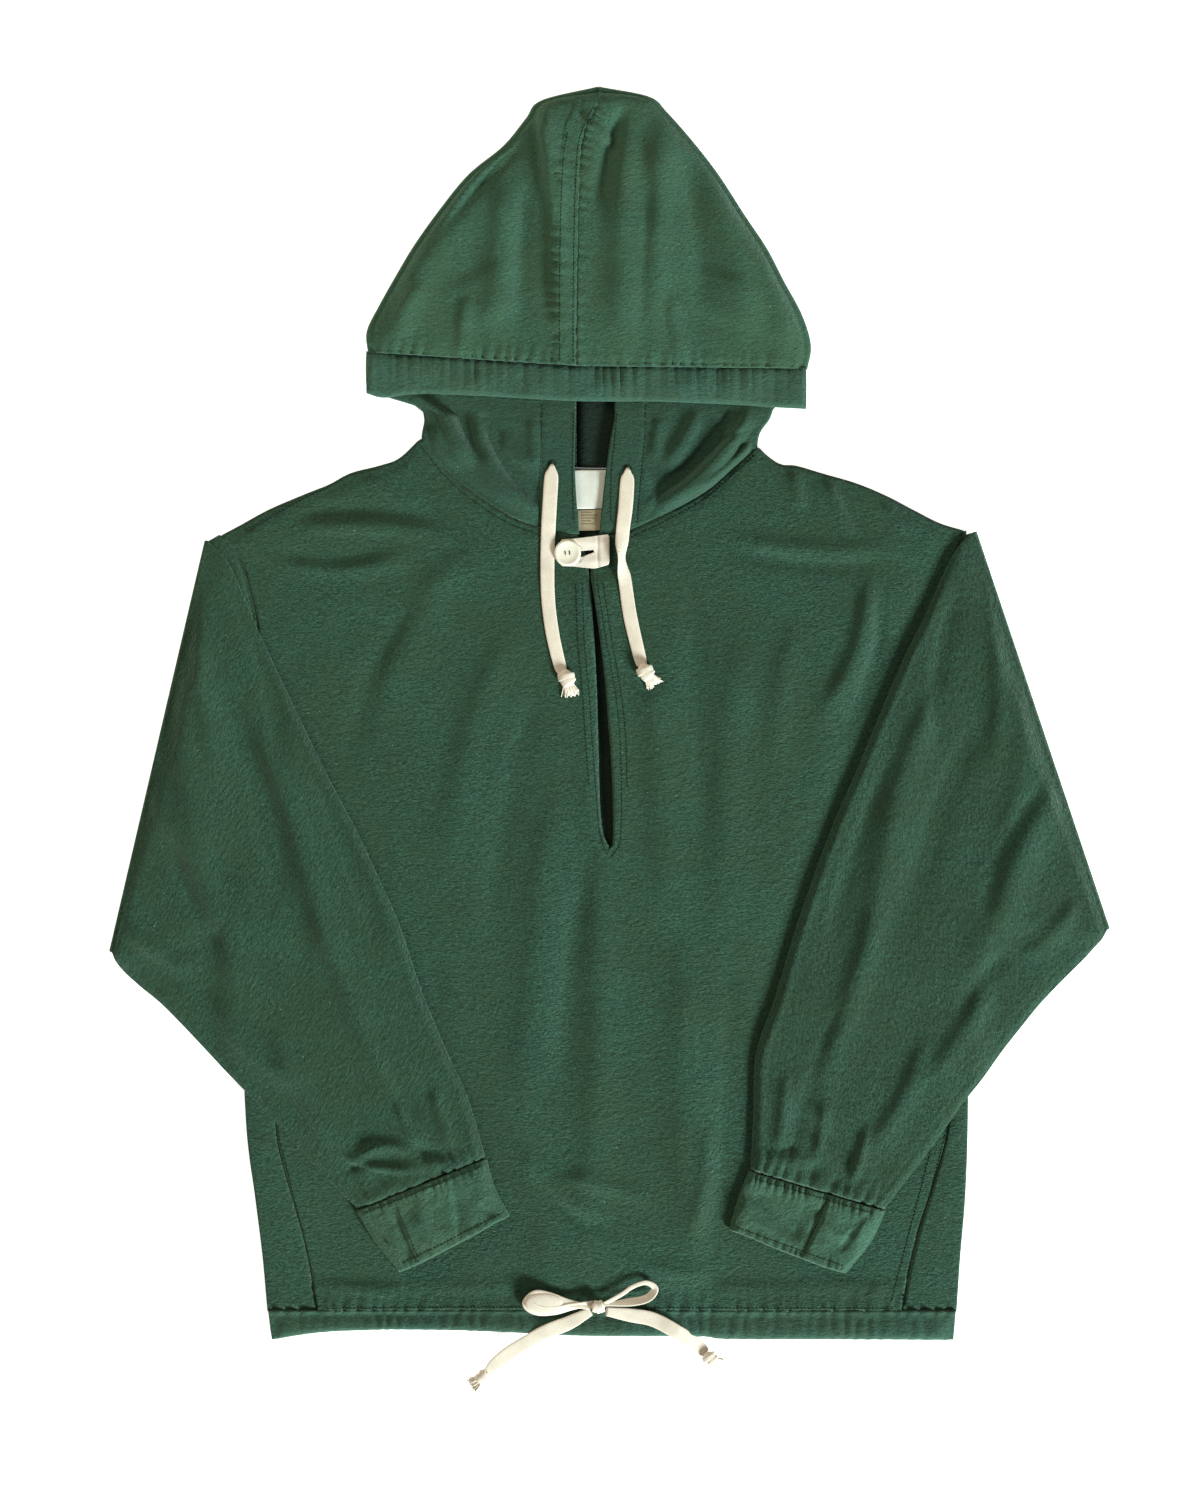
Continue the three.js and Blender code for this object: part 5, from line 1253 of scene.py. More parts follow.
for (ax, ay), (bx, by) in ((hole_places[0], hole_places[3]), (hole_places[1], hole_places[2])):
    for offset in (0.0,):
        t = np.linspace(0, 1, 9)
        x = BUTTON["x"] + mix(ax, bx, t) + offset
        y = BUTTON["y"] + mix(ay, by, t)
        z = button_base + 1.55 + 0.6 * np.sin(np.pi * t) ** 0.5
        thread_parts.append(tube_mesh(metres(x, y, z), thread_ring))
filling = [(a / 1000, b / 1000) for a, b in round_section(0.88, 12)]
for hx, hy in hole_places:
    run = metres(np.full(2, BUTTON["x"] + hx), np.full(2, BUTTON["y"] + hy), np.array([button_base + 0.1, button_base + 1.5]))
    thread_parts.append(tube_mesh(run, filling, up=(0, 1, 0)))
button_thread = joined("button_thread", thread_parts)
print("button:", len(button.data.polygons), "faces")


# %% [markdown]
# The drawcords are flat woven cotton tape that leaves two holes in the hood's front bands. Each hangs loose on the chest.
# They show from end to end, so their length is the photograph's. The right one turns on edge once, half way down.
# Their routes are the solids' own, in garment millimetres: x, y, share of the full width, height of the tape's middle.

# %% Routes of the four free tapes
TAPE_WIDE = 11.6
TAPE_THICK = 1.3
TAPE_ROUTES = {
    "drawcord_left": [
        (-45.6, 199, 0.2, 4.0), (-45.9, 195, 0.55, 4.6), (-46.4, 189, 0.96, 4.6), (-47.6, 170, 1, 4.6), (-48.9, 146, 1, 4.6), (-49.6, 119, 0.97, 4.8),
        (-48.9, 90, 0.95, 4.8), (-45.2, 62, 0.93, 5.0), (-39.5, 38, 0.85, 5.8), (-36.6, 32, 0.6, 6.6),
    ],
    "drawcord_right": [
        (14.6, 196, 0.2, 4.0), (14.5, 192, 0.55, 4.6), (14.2, 186, 0.96, 4.6), (12.8, 165, 1, 4.6), (10.6, 146, 0.95, 4.8), (9.6, 126, 0.95, 6.4),
        (12.6, 104, 0.92, 6.2), (16.8, 76, 0.95, 6.0), (24.4, 44, 0.85, 6.6), (26.6, 38, 0.6, 7.4),
    ],
    "bow_tail_left": [
        (-15, -477, 0.6, 7.6), (-32, -486, 0.95, 7.0), (-50, -493, 1, 6.9), (-66, -502, 1, 6.2), (-80, -511, 1, 3.0),
        (-92, -521, 0.9, 1.4), (-97.5, -526.6, 0.6, 2.0),
    ],
    "bow_tail_right": [
        (-3, -477, 0.6, 7.6), (16, -480, 0.95, 7.0), (33, -483, 1, 6.9), (48, -490, 1, 6.8), (62, -499, 1, 6.4),
        (73, -507.6, 0.9, 3.2), (77, -511, 0.6, 3.0),
    ],
}
KNOTS = {
    "drawcord_left": {"middle": (-34.0, 28.0, 6.8), "heading": (0.42, -0.91), "tuft": (3.4, -13.0)},
    "drawcord_right": {"middle": (29.0, 33.0, 8.2), "heading": (0.58, -0.81), "tuft": (6.5, -9.8)},
    "bow_tail_left": {"middle": (-101.4, -530.5, 3.7), "heading": (-0.8, -0.6), "tuft": (-8.0, -6.0)},
    "bow_tail_right": {"middle": (80.6, -515.0, 3.9), "heading": (0.75, -0.66), "tuft": (6.0, -5.6)},
}
TWIST = {"drawcord_right": (124.0, 11.0)}


def tape_path(name, step=2.2):
    """Middle line of a tape in garment millimetres, evenly spaced, and its width there as a share."""
    line = smooth_line(TAPE_ROUTES[name], 24)
    runs = np.concatenate([[0], np.cumsum(np.linalg.norm(np.diff(line[:, [0, 1, 3]], axis=0), axis=1))])
    count = int(runs[-1] / step) + 1
    even = np.linspace(0, runs[-1], count)
    x, y, wide, z = (np.interp(even, runs, line[:, k]) for k in range(4))
    return x, y, z, wide, runs[-1]


def rest_tape(x, y, z):
    """Lift a tape's middle line where the cloth below it stands higher, and keep it smooth."""
    for cloth in [front_panel, hem_channel] + list(neck_pieces.values()):
        for across in (-4.0, 0.0, 4.0):
            below = drop_on(cloth, x + across, y)
            z = np.array([height if low is None else max(height, low + TAPE_THICK / 2 + 0.15) for height, low in zip(z, below)])
    for _ in range(9):
        padded = np.concatenate([z[:1], z, z[-1:]])
        z = np.maximum(z, (padded[:-2] + padded[1:-1] + padded[2:]) / 3)
    return z


def tape_piece(name):
    """A flat tape with a soft bow across it, small waves along its edges and the twist that it has."""
    x, y, z, wide, length = tape_path(name)
    z = rest_tape(x, y, z)
    wide_path = metres(x, y, z) * 1000
    length = float(np.linalg.norm(np.diff(wide_path, axis=0), axis=1).sum())
    rolls = 0.10 * ripple(np.linspace(0, length, len(x)), 0 * x, 24, 71)
    if name in TWIST:
        centre, half = TWIST[name]
        rolls = rolls + 0.92 * np.exp(-(((y - centre) / half) ** 2))
        z = z + 1.6 * np.exp(-(((y - centre) / half) ** 2))
    path = metres(x, y, z)
    section = [(a / 1000, b / 1000) for a, b in flat_section(TAPE_WIDE, TAPE_THICK)]
    points, faces = tube_mesh(path, section, widths=wide, rolls=rolls)
    piece = new_object(name + "_tape", points, faces)
    print(name, "is", round(length, 1), "mm long")
    return piece, path, length / 1000


# %% [markdown]
# The end of each tape is tied in a plain overhand knot, and its cut end has frayed into a short tuft.
# A real knot is a tape that goes once round itself. Two fat turns of tape over a small core give that look from every
# side, and the tuft is a fan of thin strands with a little seeded disorder.

# %% Knots and frayed ends
def knot_piece(name, size=1.0):
    """Core and two crossing turns of flat tape."""
    spot = KNOTS[name]
    cx, cy, cz = spot["middle"]
    hx, hy = spot["heading"]
    parts = []

    def local(along, across, up):
        return metres(cx + hx * along - hy * across, cy + hy * along + hx * across, cz + up)

    turns = np.linspace(0, 2 * math.pi, 30)
    section = [(a / 1000, b / 1000) for a, b in flat_section(5.2 * size, 2.9, 12)]
    for tilt, shift, girth in ((0.42, -1.3, 4.4), (-0.30, 2.3, 3.9)):
        ring = [
            local(
                shift + math.tan(tilt) * girth * math.sin(t) * 0.8,
                girth * math.sin(t) * size,
                min(2.6, 2.7 * math.cos(t)) * size,
            )
            for t in turns
        ]
        centre = np.mean(ring, axis=0)
        points, faces = wrapped_turn(ring, centre, section)
        parts.append((points, faces))
    ball, ball_faces = ellipsoid(local(0, 0, 0), (hx, hy), (6.0 * size, 4.9 * size, 3.0 * size))
    parts.append((ball, ball_faces))
    return joined(name + "_tied_knot", parts)


def wrapped_turn(ring, centre, section):
    """A closed band round a centre, its flat face towards the centre."""
    ring = [np.asarray(p) for p in ring]
    count = len(ring) - 1
    points = []
    for index in range(count):
        ahead = ring[(index + 1) % count]
        behind = ring[index - 1]
        tangent = ahead - behind
        tangent /= np.linalg.norm(tangent)
        out = ring[index] - centre
        out -= tangent * out.dot(tangent)
        out /= np.linalg.norm(out)
        side = np.cross(tangent, out)
        for a, b in section:
            points.append(ring[index] + side * a + out * b)
    sides = len(section)
    faces = grid_faces(count, sides, wrap=True)
    last = (count - 1) * sides
    faces += [(last + i, last + (i + 1) % sides, (i + 1) % sides, i) for i in range(sides)]
    return points, faces


def ellipsoid(middle, heading, radii, steps=12):
    """A rounded lump with its long radius along its heading, radii in millimetres."""
    hx, hy = heading
    points, faces = [], []
    for j in range(steps + 1):
        lift = math.pi * (0.02 + 0.96 * j / steps) - math.pi / 2
        for i in range(steps * 2):
            turn = math.pi * i / steps
            a = radii[0] * math.cos(lift) * math.cos(turn) / 1000
            b = radii[1] * math.cos(lift) * math.sin(turn) / 1000
            c = radii[2] * math.sin(lift) / 1000
            points.append(np.asarray(middle) + np.array([hx * a - hy * b, hy * a + hx * b, c]))
    ring = steps * 2
    faces += grid_faces(steps + 1, ring, wrap=True)
    faces.append(tuple(range(ring))[::-1])
    faces.append(tuple(range(steps * ring, (steps + 1) * ring)))
    return points, faces


def tuft_piece(name, strands=64):
    """Frayed threads round a small core that fan out beyond the knot and droop a little."""
    spot = KNOTS[name]
    cx, cy, cz = spot["middle"]
    tx, ty = spot["tuft"]
    length = math.hypot(tx, ty)
    ux, uy = tx / length, ty / length
    pick = np.random.default_rng(len(name) * 7)
    core = metres(cx + ux * length * 0.62, cy + uy * length * 0.62, cz - 0.4)
    parts = [ellipsoid(core, (ux, uy), (length * 0.42, 4.6, 1.6), 8)]
    for index in range(strands):
        spread = pick.uniform(-1, 1)
        reach = length * pick.uniform(0.70, 0.98)
        curl = pick.uniform(-0.22, 0.22)
        lift = pick.uniform(-0.9, 1.7)
        along = np.linspace(2.0, reach + 2.4, 7)
        t = along / (reach + 2.4)
        across = spread * (2.4 + 4.0 * t) + curl * length * t * t
        x = cx + ux * along - uy * across
        y = cy + uy * along + ux * across
        z = cz + lift - (1.0 + lift * 0.5) * t * t
        section = [(a / 1000, b / 1000) for a, b in round_section(0.62, 5)]
        widths = 1.0 - 0.45 * t
        parts.append(tube_mesh(metres(x, y, z), section, widths=widths))
    return joined(name + "_frayed_end", parts)


# %% The tapes in place
cord_pieces, cord_knots, cord_tufts = {}, {}, {}
for cord_name in TAPE_ROUTES:
    strip, strip_path, strip_length = tape_piece(cord_name)
    knot = knot_piece(cord_name, 1.22 if "draw" in cord_name else 1.0)
    tuft = tuft_piece(cord_name)
    cord_pieces[cord_name], cord_knots[cord_name], cord_tufts[cord_name] = strip, knot, tuft
    for piece in (strip, knot, tuft):
        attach(piece, "root")
    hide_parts(cord_name)
    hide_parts(cord_name + "_knot")
# %% [markdown]
# The tape of the hem is tied in a bow in the middle. Each loop is a ribbon that goes out, turns over and comes back,
# and a short wrap of tape holds the crossing. The loops are drawn a little flattened, as they lie on the cloth.

# %% The bow
LOOP_RIMS = {
    "left": [
        (-12, -469.6), (-32, -465.6), (-46, -461.4), (-58, -460), (-65.4, -464.4), (-69, -471), (-65.2, -477.2), (-56, -481),
        (-42, -480.6), (-30, -477.8), (-12, -474.4),
    ],
    "right": [
        (-6, -468.6), (8, -460.8), (17, -454.6), (28, -451), (36.2, -453.8), (39, -459.4), (35.4, -466), (28, -470.4),
        (14, -472.6), (-6, -474.4),
    ],
}


LOOP_INSET = {"left": 4.6, "right": 2.9}
LOOP_WIDTHS = {
    "left": lambda t: 0.30 + 0.92 * np.sin(np.pi * np.clip(t, 0.01, 0.99)) ** 0.7,
    "right": lambda t: (0.58 + 0.62 * ease(t, 0.25, 0.7)) * (0.4 + 0.6 * ease(1 - t, 0.0, 0.14)),
}


def bow_loop(side):
    line = smooth_line(LOOP_RIMS[side], 6)[:, :2]
    t = np.linspace(0, 1, len(line))
    tangent = np.gradient(line, axis=0)
    tangent /= np.linalg.norm(tangent, axis=1)[:, None]
    inward = np.stack([tangent[:, 1], -tangent[:, 0]], axis=1) * (-1 if side == "left" else 1)
    middle = line + inward * LOOP_INSET[side]
    z = 8.8 + 0.35 * np.sin(2 * np.pi * t)
    rolls = 0.28 * np.sin(np.pi * t * 2) - 0.25
    section = [(a / 1000, b / 1000) for a, b in flat_section(2 * LOOP_INSET[side], 1.4)]
    widths = LOOP_WIDTHS[side](t)
    points, faces = tube_mesh(metres(middle[:, 0], middle[:, 1], z), section, widths=widths, rolls=rolls)
    parts = [(points, faces)]
    if side == "left":
        parts.append(ellipsoid(metres(-52, -470.5, 9.5), (1, -0.05), (15.5, 8.6, 1.5)))
    piece = joined("bow_loop_" + side + "_tape", parts)
    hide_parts("bow_loop_" + side)
    return piece


bow_loops = [bow_loop(side) for side in LOOP_RIMS]
wrap_parts = []
wrap_section = [(a / 1000, b / 1000) for a, b in flat_section(7.0, 1.5, 12)]
knot_x, knot_y, knot_z = -9.0, -473.0, 9.9
for tilt, shift in ((0.22, -0.9), (-0.30, 1.0)):
    turns = np.linspace(0, 2 * math.pi, 30)
    ring = [
        metres(knot_x + shift + 1.4 * math.sin(t) * tilt * 3, knot_y + 4.1 * math.sin(t), knot_z + 2.55 * math.cos(t))
        for t in turns
    ]
    wrap_parts.append(wrapped_turn(ring, np.mean(ring, axis=0), wrap_section))
wrap_parts.append(ellipsoid(metres(knot_x, knot_y, knot_z), (1, 0), (5.4, 3.8, 2.3)))
bow_knot = joined("bow_knot_wrap", wrap_parts)
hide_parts("bow_knot")
print("bow:", sum(len(piece.data.polygons) for piece in bow_loops + [bow_knot]), "faces")

# %% [markdown]
# Every seam that shows has its row of stitches. A row is a line of places, and each stitch is a short rounded length
# of thread that is laid on the cloth below it, with its ends pulled in. Pitch is about three millimetres.

# %% Stitches
def stitch_row(piece, line, pitch=3.0, radius=0.36, seed=1):
    """Stitches along a line on one piece, as a list of small tubes."""
    line = smooth_line(line, 8)[:, :2]
    runs = np.concatenate([[0], np.cumsum(np.linalg.norm(np.diff(line, axis=0), axis=1))])
    pick = np.random.default_rng(seed)
    section = [(a / 1000, b / 1000) for a, b in round_section(radius, 6)]
    parts = []
    for start in np.arange(0.4, runs[-1] - pitch, pitch):
        sway = pick.uniform(-0.12, 0.12)
        along = start + np.array([0.0, 0.22, 0.55, 0.78]) * pitch + pick.uniform(-0.15, 0.15)
        x = np.interp(along, runs, line[:, 0]) + sway
        y = np.interp(along, runs, line[:, 1]) + sway
        z = drop_on(piece, x, y)
        if None in z:
            continue
        lift = np.array([-0.22, 0.13, 0.13, -0.22])
        widths = np.array([0.45, 1.0, 1.0, 0.45])
        parts.append(tube_mesh(metres(x, y, np.array(z) + lift), section, up=(0, 0.02, 1), widths=widths))
    return parts


def moved(line, dx, dy):
    return [(x + dx, y + dy) for x, y in line]


def cuff_line(side, share, start=0.04, end=0.96):
    row = at_row(CUFFS[side], share)
    a, b = np.array(row[:2]), np.array(row[2:])
    return [tuple(mix(a, b, t)) for t in np.linspace(start, end, 6)]


SHOULDER_STITCH = [(-224, 181), (-240, 173.6), (-258, 163.6), (-275, 153.5), (-291, 143.4)]
rows = {
    "front_stitches": (front_panel, [
        moved(NECK_STITCH, 0, 0), SLIT_STITCH_LEFT, SLIT_STITCH_RIGHT, moved(SLIT_STITCH_LEFT[:6], -5.2, 0),
        moved(SLIT_STITCH_RIGHT[:6], 4.6, 0), SHOULDER_STITCH, [(-226, -475.2), (-120, -474.4), (0, -474.8), (120, -475), (228, -475.4)],
        SIDE_STITCH["left"], SIDE_STITCH["right"], moved(SIDE_STITCH["right"], -8.5, 0),
    ]),
    "hood_left_stitches": (hood_pieces["left"], [moved(HOOD_FELL, 2.2, 0), moved(HOOD_SEAM[1:], -2.4, 0)]),
    "hood_hem_stitches": (hood_hem, [[(x, stitch - 1.5) for x, edge, stitch in HOOD_HEM]]),
    "band_left_stitches": (neck_pieces["left"], [BAND_STITCH["left"], [(-28.6, 240), (-29, 215), (-29.6, 190), (-28.6, 152)]]),
    "band_right_stitches": (neck_pieces["right"], [BAND_STITCH["right"], [(6, 240), (4, 215), (1.4, 190), (1.2, 152)]]),
    "cuff_left_stitches": (cuff_pieces["left"], [cuff_line("left", 0.07), cuff_line("left", 0.9), moved(CUFF_LAPS["left"], 2.2, 1.2)]),
    "cuff_right_stitches": (cuff_pieces["right"], [cuff_line("right", 0.07), cuff_line("right", 0.9), moved(CUFF_LAPS["right"], -2.2, 1.2)]),
}
stitch_pieces = {}
for stitch_name, (piece, lines) in rows.items():
    parts = []
    for index, line in enumerate(lines):
        parts += stitch_row(piece, line, seed=index + 5)
    stitch_pieces[stitch_name] = joined(stitch_name, parts)
    print(stitch_name, len(parts), "stitches")

# %% [markdown]
# Each drawcord leaves its band through a small worked hole, so a ring of thread is wound round the place.

# %% Worked holes
eyelets = []
for side, (middle_x, middle_y) in EYELETS.items():
    turns = np.linspace(0, 2 * math.pi, 26)
    ring_x = middle_x + 2.9 * np.cos(turns)
    ring_y = middle_y + 1.2 + 2.3 * np.sin(turns)
    heights = drop_on(neck_pieces[side], ring_x, ring_y)
    ring_z = np.array([4.0 if height is None else height for height in heights]) + 0.1
    section = [(a / 1000, b / 1000) for a, b in round_section(0.5, 8)]
    eyelets.append(joined("eyelet_" + side, [tube_mesh(metres(ring_x, ring_y, ring_z), section, up=(0, 0.01, 1))]))
print("worked holes:", len(eyelets))

# %% [markdown]
# The materials are all worked out from patterns, with no pictures. A small class puts arithmetic on the outputs of
# nodes, so that a finish reads like a sum. Colours were judged against the photograph, in ordinary light.

# %% Shading by arithmetic
def shade_of(red, green, blue):
    """A screen colour of 0 to 255 as linear light."""
    parts = [c / 255 for c in (red, green, blue)]
    return tuple([c / 12.92 if c <= 0.04045 else ((c + 0.055) / 1.055) ** 2.4 for c in parts] + [1.0])


class Field:
    """One output of a node, with sums, products and other nodes made from it."""

    def __init__(self, tree, output=None):
        self.tree = tree
        self.output = output

    def node(self, kind, settings=None, inputs=None, out=0, stops=None):
        made = self.tree.nodes.new(kind)
        for name, value in (settings or {}).items():
            setattr(made, name, value)
        if stops:
            ramp = made.color_ramp.elements
            while len(ramp) < len(stops):
                ramp.new(0.5)
            for element, (place, colour) in zip(ramp, stops):
                element.position = place
                element.color = colour
        for name, value in (inputs or {}).items():
            if isinstance(value, Field):
                self.tree.links.new(value.output, made.inputs[name])
            else:
                made.inputs[name].default_value = value
        return Field(self.tree, made.outputs[out])

    def maths(self, operation, *values):
        return self.node("ShaderNodeMath", {"operation": operation}, dict(enumerate(values)))

    def __add__(self, other):
        return self.maths("ADD", self, other)

    def __radd__(self, other):
        return self.maths("ADD", other, self)

    def __sub__(self, other):
        return self.maths("SUBTRACT", self, other)

    def __rsub__(self, other):
        return self.maths("SUBTRACT", other, self)

    def __mul__(self, other):
        return self.maths("MULTIPLY", self, other)

    def __rmul__(self, other):
        return self.maths("MULTIPLY", other, self)

    def __truediv__(self, other):
        return self.maths("DIVIDE", self, other)

    def __rtruediv__(self, other):
        return self.maths("DIVIDE", other, self)

    def __pow__(self, other):
        return self.maths("POWER", self, other)

    def held(self, low=0.0, high=1.0):
        """Keep a value between two limits."""
        return self.maths("MINIMUM", self.maths("MAXIMUM", self, low), high)

    def step(self, low, high):
        """A smooth step from 0 at low to 1 at high."""
        ranged = {"interpolation_type": "SMOOTHSTEP"}
        return self.node("ShaderNodeMapRange", ranged, {"Value": self, "From Min": low, "From Max": high})

    def tint(self, dark, light):
        """A colour between two, by this value."""
        return self.node("ShaderNodeMix", {"data_type": "RGBA"}, {0: self, 6: dark, 7: light}, out=2)


def noise(field, where, scale, detail=2.0, rough=0.5, twist=0.0):
    inputs = {"Vector": where, "Scale": scale, "Detail": detail, "Roughness": rough, "Distortion": twist}
    return field.node("ShaderNodeTexNoise", None, inputs)


def stretched(field, where, along, across, turn=0.0):
    """The place in the cloth's own grain: turned, then measured along and across it."""
    inputs = {"Vector": where, "Rotation": (0, 0, turn), "Scale": (along, across, across)}
    return field.node("ShaderNodeMapping", {"vector_type": "TEXTURE"}, inputs)


def new_material(name):
    material = bpy.data.materials.new(name)
    material.use_nodes = True
    tree = material.node_tree
    tree.nodes.clear()
    return material, Field(tree)


def finish_material(start, inputs, bump=None, strength=0.5, distance=0.001):
    """Join a Principled surface to the output, with a bump from one value."""
    facts = dict(inputs)
    if bump is not None:
        facts["Normal"] = start.node("ShaderNodeBump", None, {"Strength": strength, "Distance": distance, "Height": bump})
    surface = start.node("ShaderNodeBsdfPrincipled", None, facts)
    end = start.tree.nodes.new("ShaderNodeOutputMaterial")
    start.tree.links.new(surface.output, end.inputs["Surface"])


# %% [markdown]
# The main cloth is cotton brushed on its face. A short nap lies mostly across the body, in soft streaks one to three
# millimetres long. Small pills and pale specks of fluff sit on it, and the dye is a little uneven, greener and
# browner by turns. The hem channel and the cuffs are the same cotton less brushed, so they are smoother and lighter.

# %% Brushed cotton
def cloth_material(name, base, turn=0.0, nap=1.0, sheen=0.30):
    material, start = new_material(name)
    where = start.node("ShaderNodeTexCoord", None, None, out=3)
    grain_place = stretched(start, where, 2.4, 1.0, turn)
    streaks = noise(start, grain_place, 1150.0, 3.0, 0.66)
    fluff = noise(start, where, 1700.0, 3.0, 0.65)
    mottle = noise(start, grain_place, 760.0, 3.0, 0.6, 0.4)
    pebble = noise(start, stretched(start, where, 1.7, 1.0, turn), 330.0, 3.0, 0.62, 0.3)
    patches = noise(start, where, 16.0, 3.0, 0.55)
    wide_patches = noise(start, where, 4.0, 1.0, 0.5)
    pills = start.node("ShaderNodeTexVoronoi", {"feature": "F1"}, {"Vector": where, "Scale": 300.0, "Randomness": 1.0})
    pill = 1.0 - pills.step(0.10, 0.30)
    chance = noise(start, where, 90.0, 1.0, 0.5).step(0.52, 0.68)
    pill = pill * chance
    specks = start.node("ShaderNodeTexVoronoi", {"feature": "F1"}, {"Vector": where, "Scale": 130.0, "Randomness": 1.0})
    lint = (1.0 - specks.step(0.025, 0.07)) * noise(start, where, 40.0, 1.0, 0.5).step(0.5, 0.62)
    value = 0.42 + (streaks - 0.5) * (3.9 * nap) + (mottle - 0.5) * (1.6 * nap) + (fluff - 0.5) * (1.6 * nap)
    value = (value + (pebble - 0.5) * 0.5 * nap + (patches - 0.5) * 0.35 + (wide_patches - 0.5) * 0.15 + pill * 0.10 * nap).held()
    dark = shade_of(*[c * 0.80 for c in base])
    light = shade_of(*[min(255, c * 1.26 + 5) for c in base])
    colour = value.tint(dark, light)
    drift = (noise(start, where, 11.0, 2.0, 0.5) * 0.55 + noise(start, where, 55.0, 2.0, 0.6) * 0.45).step(0.40, 0.60)
    olive = shade_of(base[0] * 1.12 + 3, base[1] * 0.97, base[2] * 0.80)
    cast = start.node("ShaderNodeMix", {"data_type": "RGBA", "blend_type": "MIX"}, {0: drift * 0.34, 6: colour, 7: olive}, out=2)
    pale = shade_of(188, 204, 190)
    cast = start.node("ShaderNodeMix", {"data_type": "RGBA"}, {0: lint * 0.42, 6: cast, 7: pale}, out=2)
    height = streaks * 0.6 * nap + fluff * 0.4 * nap + mottle * 0.9 * nap + pebble * 2.0 * nap + pill * 0.5 * nap
    facts = {
        "Base Color": cast,
        "Roughness": 0.92,
        "Specular IOR Level": 0.18,
        "Sheen Weight": sheen,
        "Sheen Roughness": 0.45,
        "Sheen Tint": (0.62, 0.80, 0.68, 1.0),
    }
    finish_material(start, facts, height, 1.0, 0.0011)
    return material


BODY_CLOTH = (39, 68, 53)
SLEEVE_CLOTH = (37, 65, 50)
body_cloth = cloth_material("brushed_cotton_body", BODY_CLOTH)
sleeve_cloth = {
    "left": cloth_material("brushed_cotton_left_sleeve", SLEEVE_CLOTH, turn=math.radians(62)),
    "right": cloth_material("brushed_cotton_right_sleeve", SLEEVE_CLOTH, turn=math.radians(-62)),
}
hood_cloth = cloth_material("brushed_cotton_hood", (49, 80, 63), turn=math.radians(8), nap=0.55)
neck_cloth = cloth_material("cloth_of_the_neck", (39, 67, 54), turn=math.radians(8), nap=0.55)
hem_cloth = cloth_material("plain_cotton_hem", (49, 79, 66), nap=0.5, sheen=0.22)
cuff_cloth = cloth_material("plain_cotton_cuff", (50, 79, 63), turn=math.radians(30), nap=0.6, sheen=0.24)

# %% [markdown]
# The tapes are unbleached cotton twill with a fine herringbone, slightly furry. The labels are a plain woven white
# and a tan cotton. The button is a warm ivory with faint clouds in it, a little glossy.

# %% Tape, labels, thread and button
def tape_material(name, base, fine=1.0):
    material, start = new_material(name)
    where = start.node("ShaderNodeTexCoord", None, None, out=3)
    weave = start.node(
        "ShaderNodeTexWave",
        {"wave_type": "BANDS", "bands_direction": "DIAGONAL"},
        {"Vector": where, "Scale": 330.0 * fine, "Distortion": 1.2, "Detail": 1.0},
        out=1,
    )
    fuzz = noise(start, where, 1300.0, 3.0, 0.6)
    soil = noise(start, where, 90.0, 2.0, 0.5)
    value = (0.42 + (weave - 0.5) * 0.34 + (fuzz - 0.5) * 0.8 + (soil - 0.5) * 0.5).held()
    colour = value.tint(shade_of(*[c * 0.80 for c in base]), shade_of(*[min(255, c * 1.05 + 3) for c in base]))
    facts = {"Base Color": colour, "Roughness": 0.88, "Specular IOR Level": 0.2, "Sheen Weight": 0.15, "Sheen Roughness": 0.5}
    finish_material(start, facts, weave * 0.6 + fuzz * 0.7, 0.45, 0.0004)
    return material


cotton_tape = tape_material("cotton_tape", (248, 229, 211))
tab_tape = tape_material("cotton_tape_tab", (250, 232, 216))
white_label = tape_material("label_white", (236, 236, 226), 1.6)
tan_label = tape_material("label_tan", (176, 162, 132), 1.6)


def plain_material(name, base, roughness, specular=0.5, cloud=0.0, coat=0.0):
    material, start = new_material(name)
    where = start.node("ShaderNodeTexCoord", None, None, out=3)
    clouds = noise(start, where, 160.0, 3.0, 0.5, 0.6)
    value = (0.5 + (clouds - 0.5) * (1.0 + cloud)).held()
    colour = value.tint(shade_of(*[c * (0.97 - 0.05 * cloud) for c in base]), shade_of(*base))
    facts = {"Base Color": colour, "Roughness": roughness, "Specular IOR Level": specular, "Coat Weight": coat}
    facts["Coat Roughness"] = 0.25
    finish_material(start, facts, clouds, 0.1, 0.0003)
    return material


button_ivory = plain_material("button_ivory", (240, 234, 216), 0.34, 0.5, 0.6, 0.2)
dark_thread = plain_material("thread_dark", (26, 24, 20), 0.8, 0.3, 1.0)
sewing_thread = plain_material("thread_green", (24, 40, 32), 0.85, 0.2, 1.0)
ruled_ink = plain_material("label_ruled_lines", (128, 116, 92), 0.9, 0.1, 1.0)
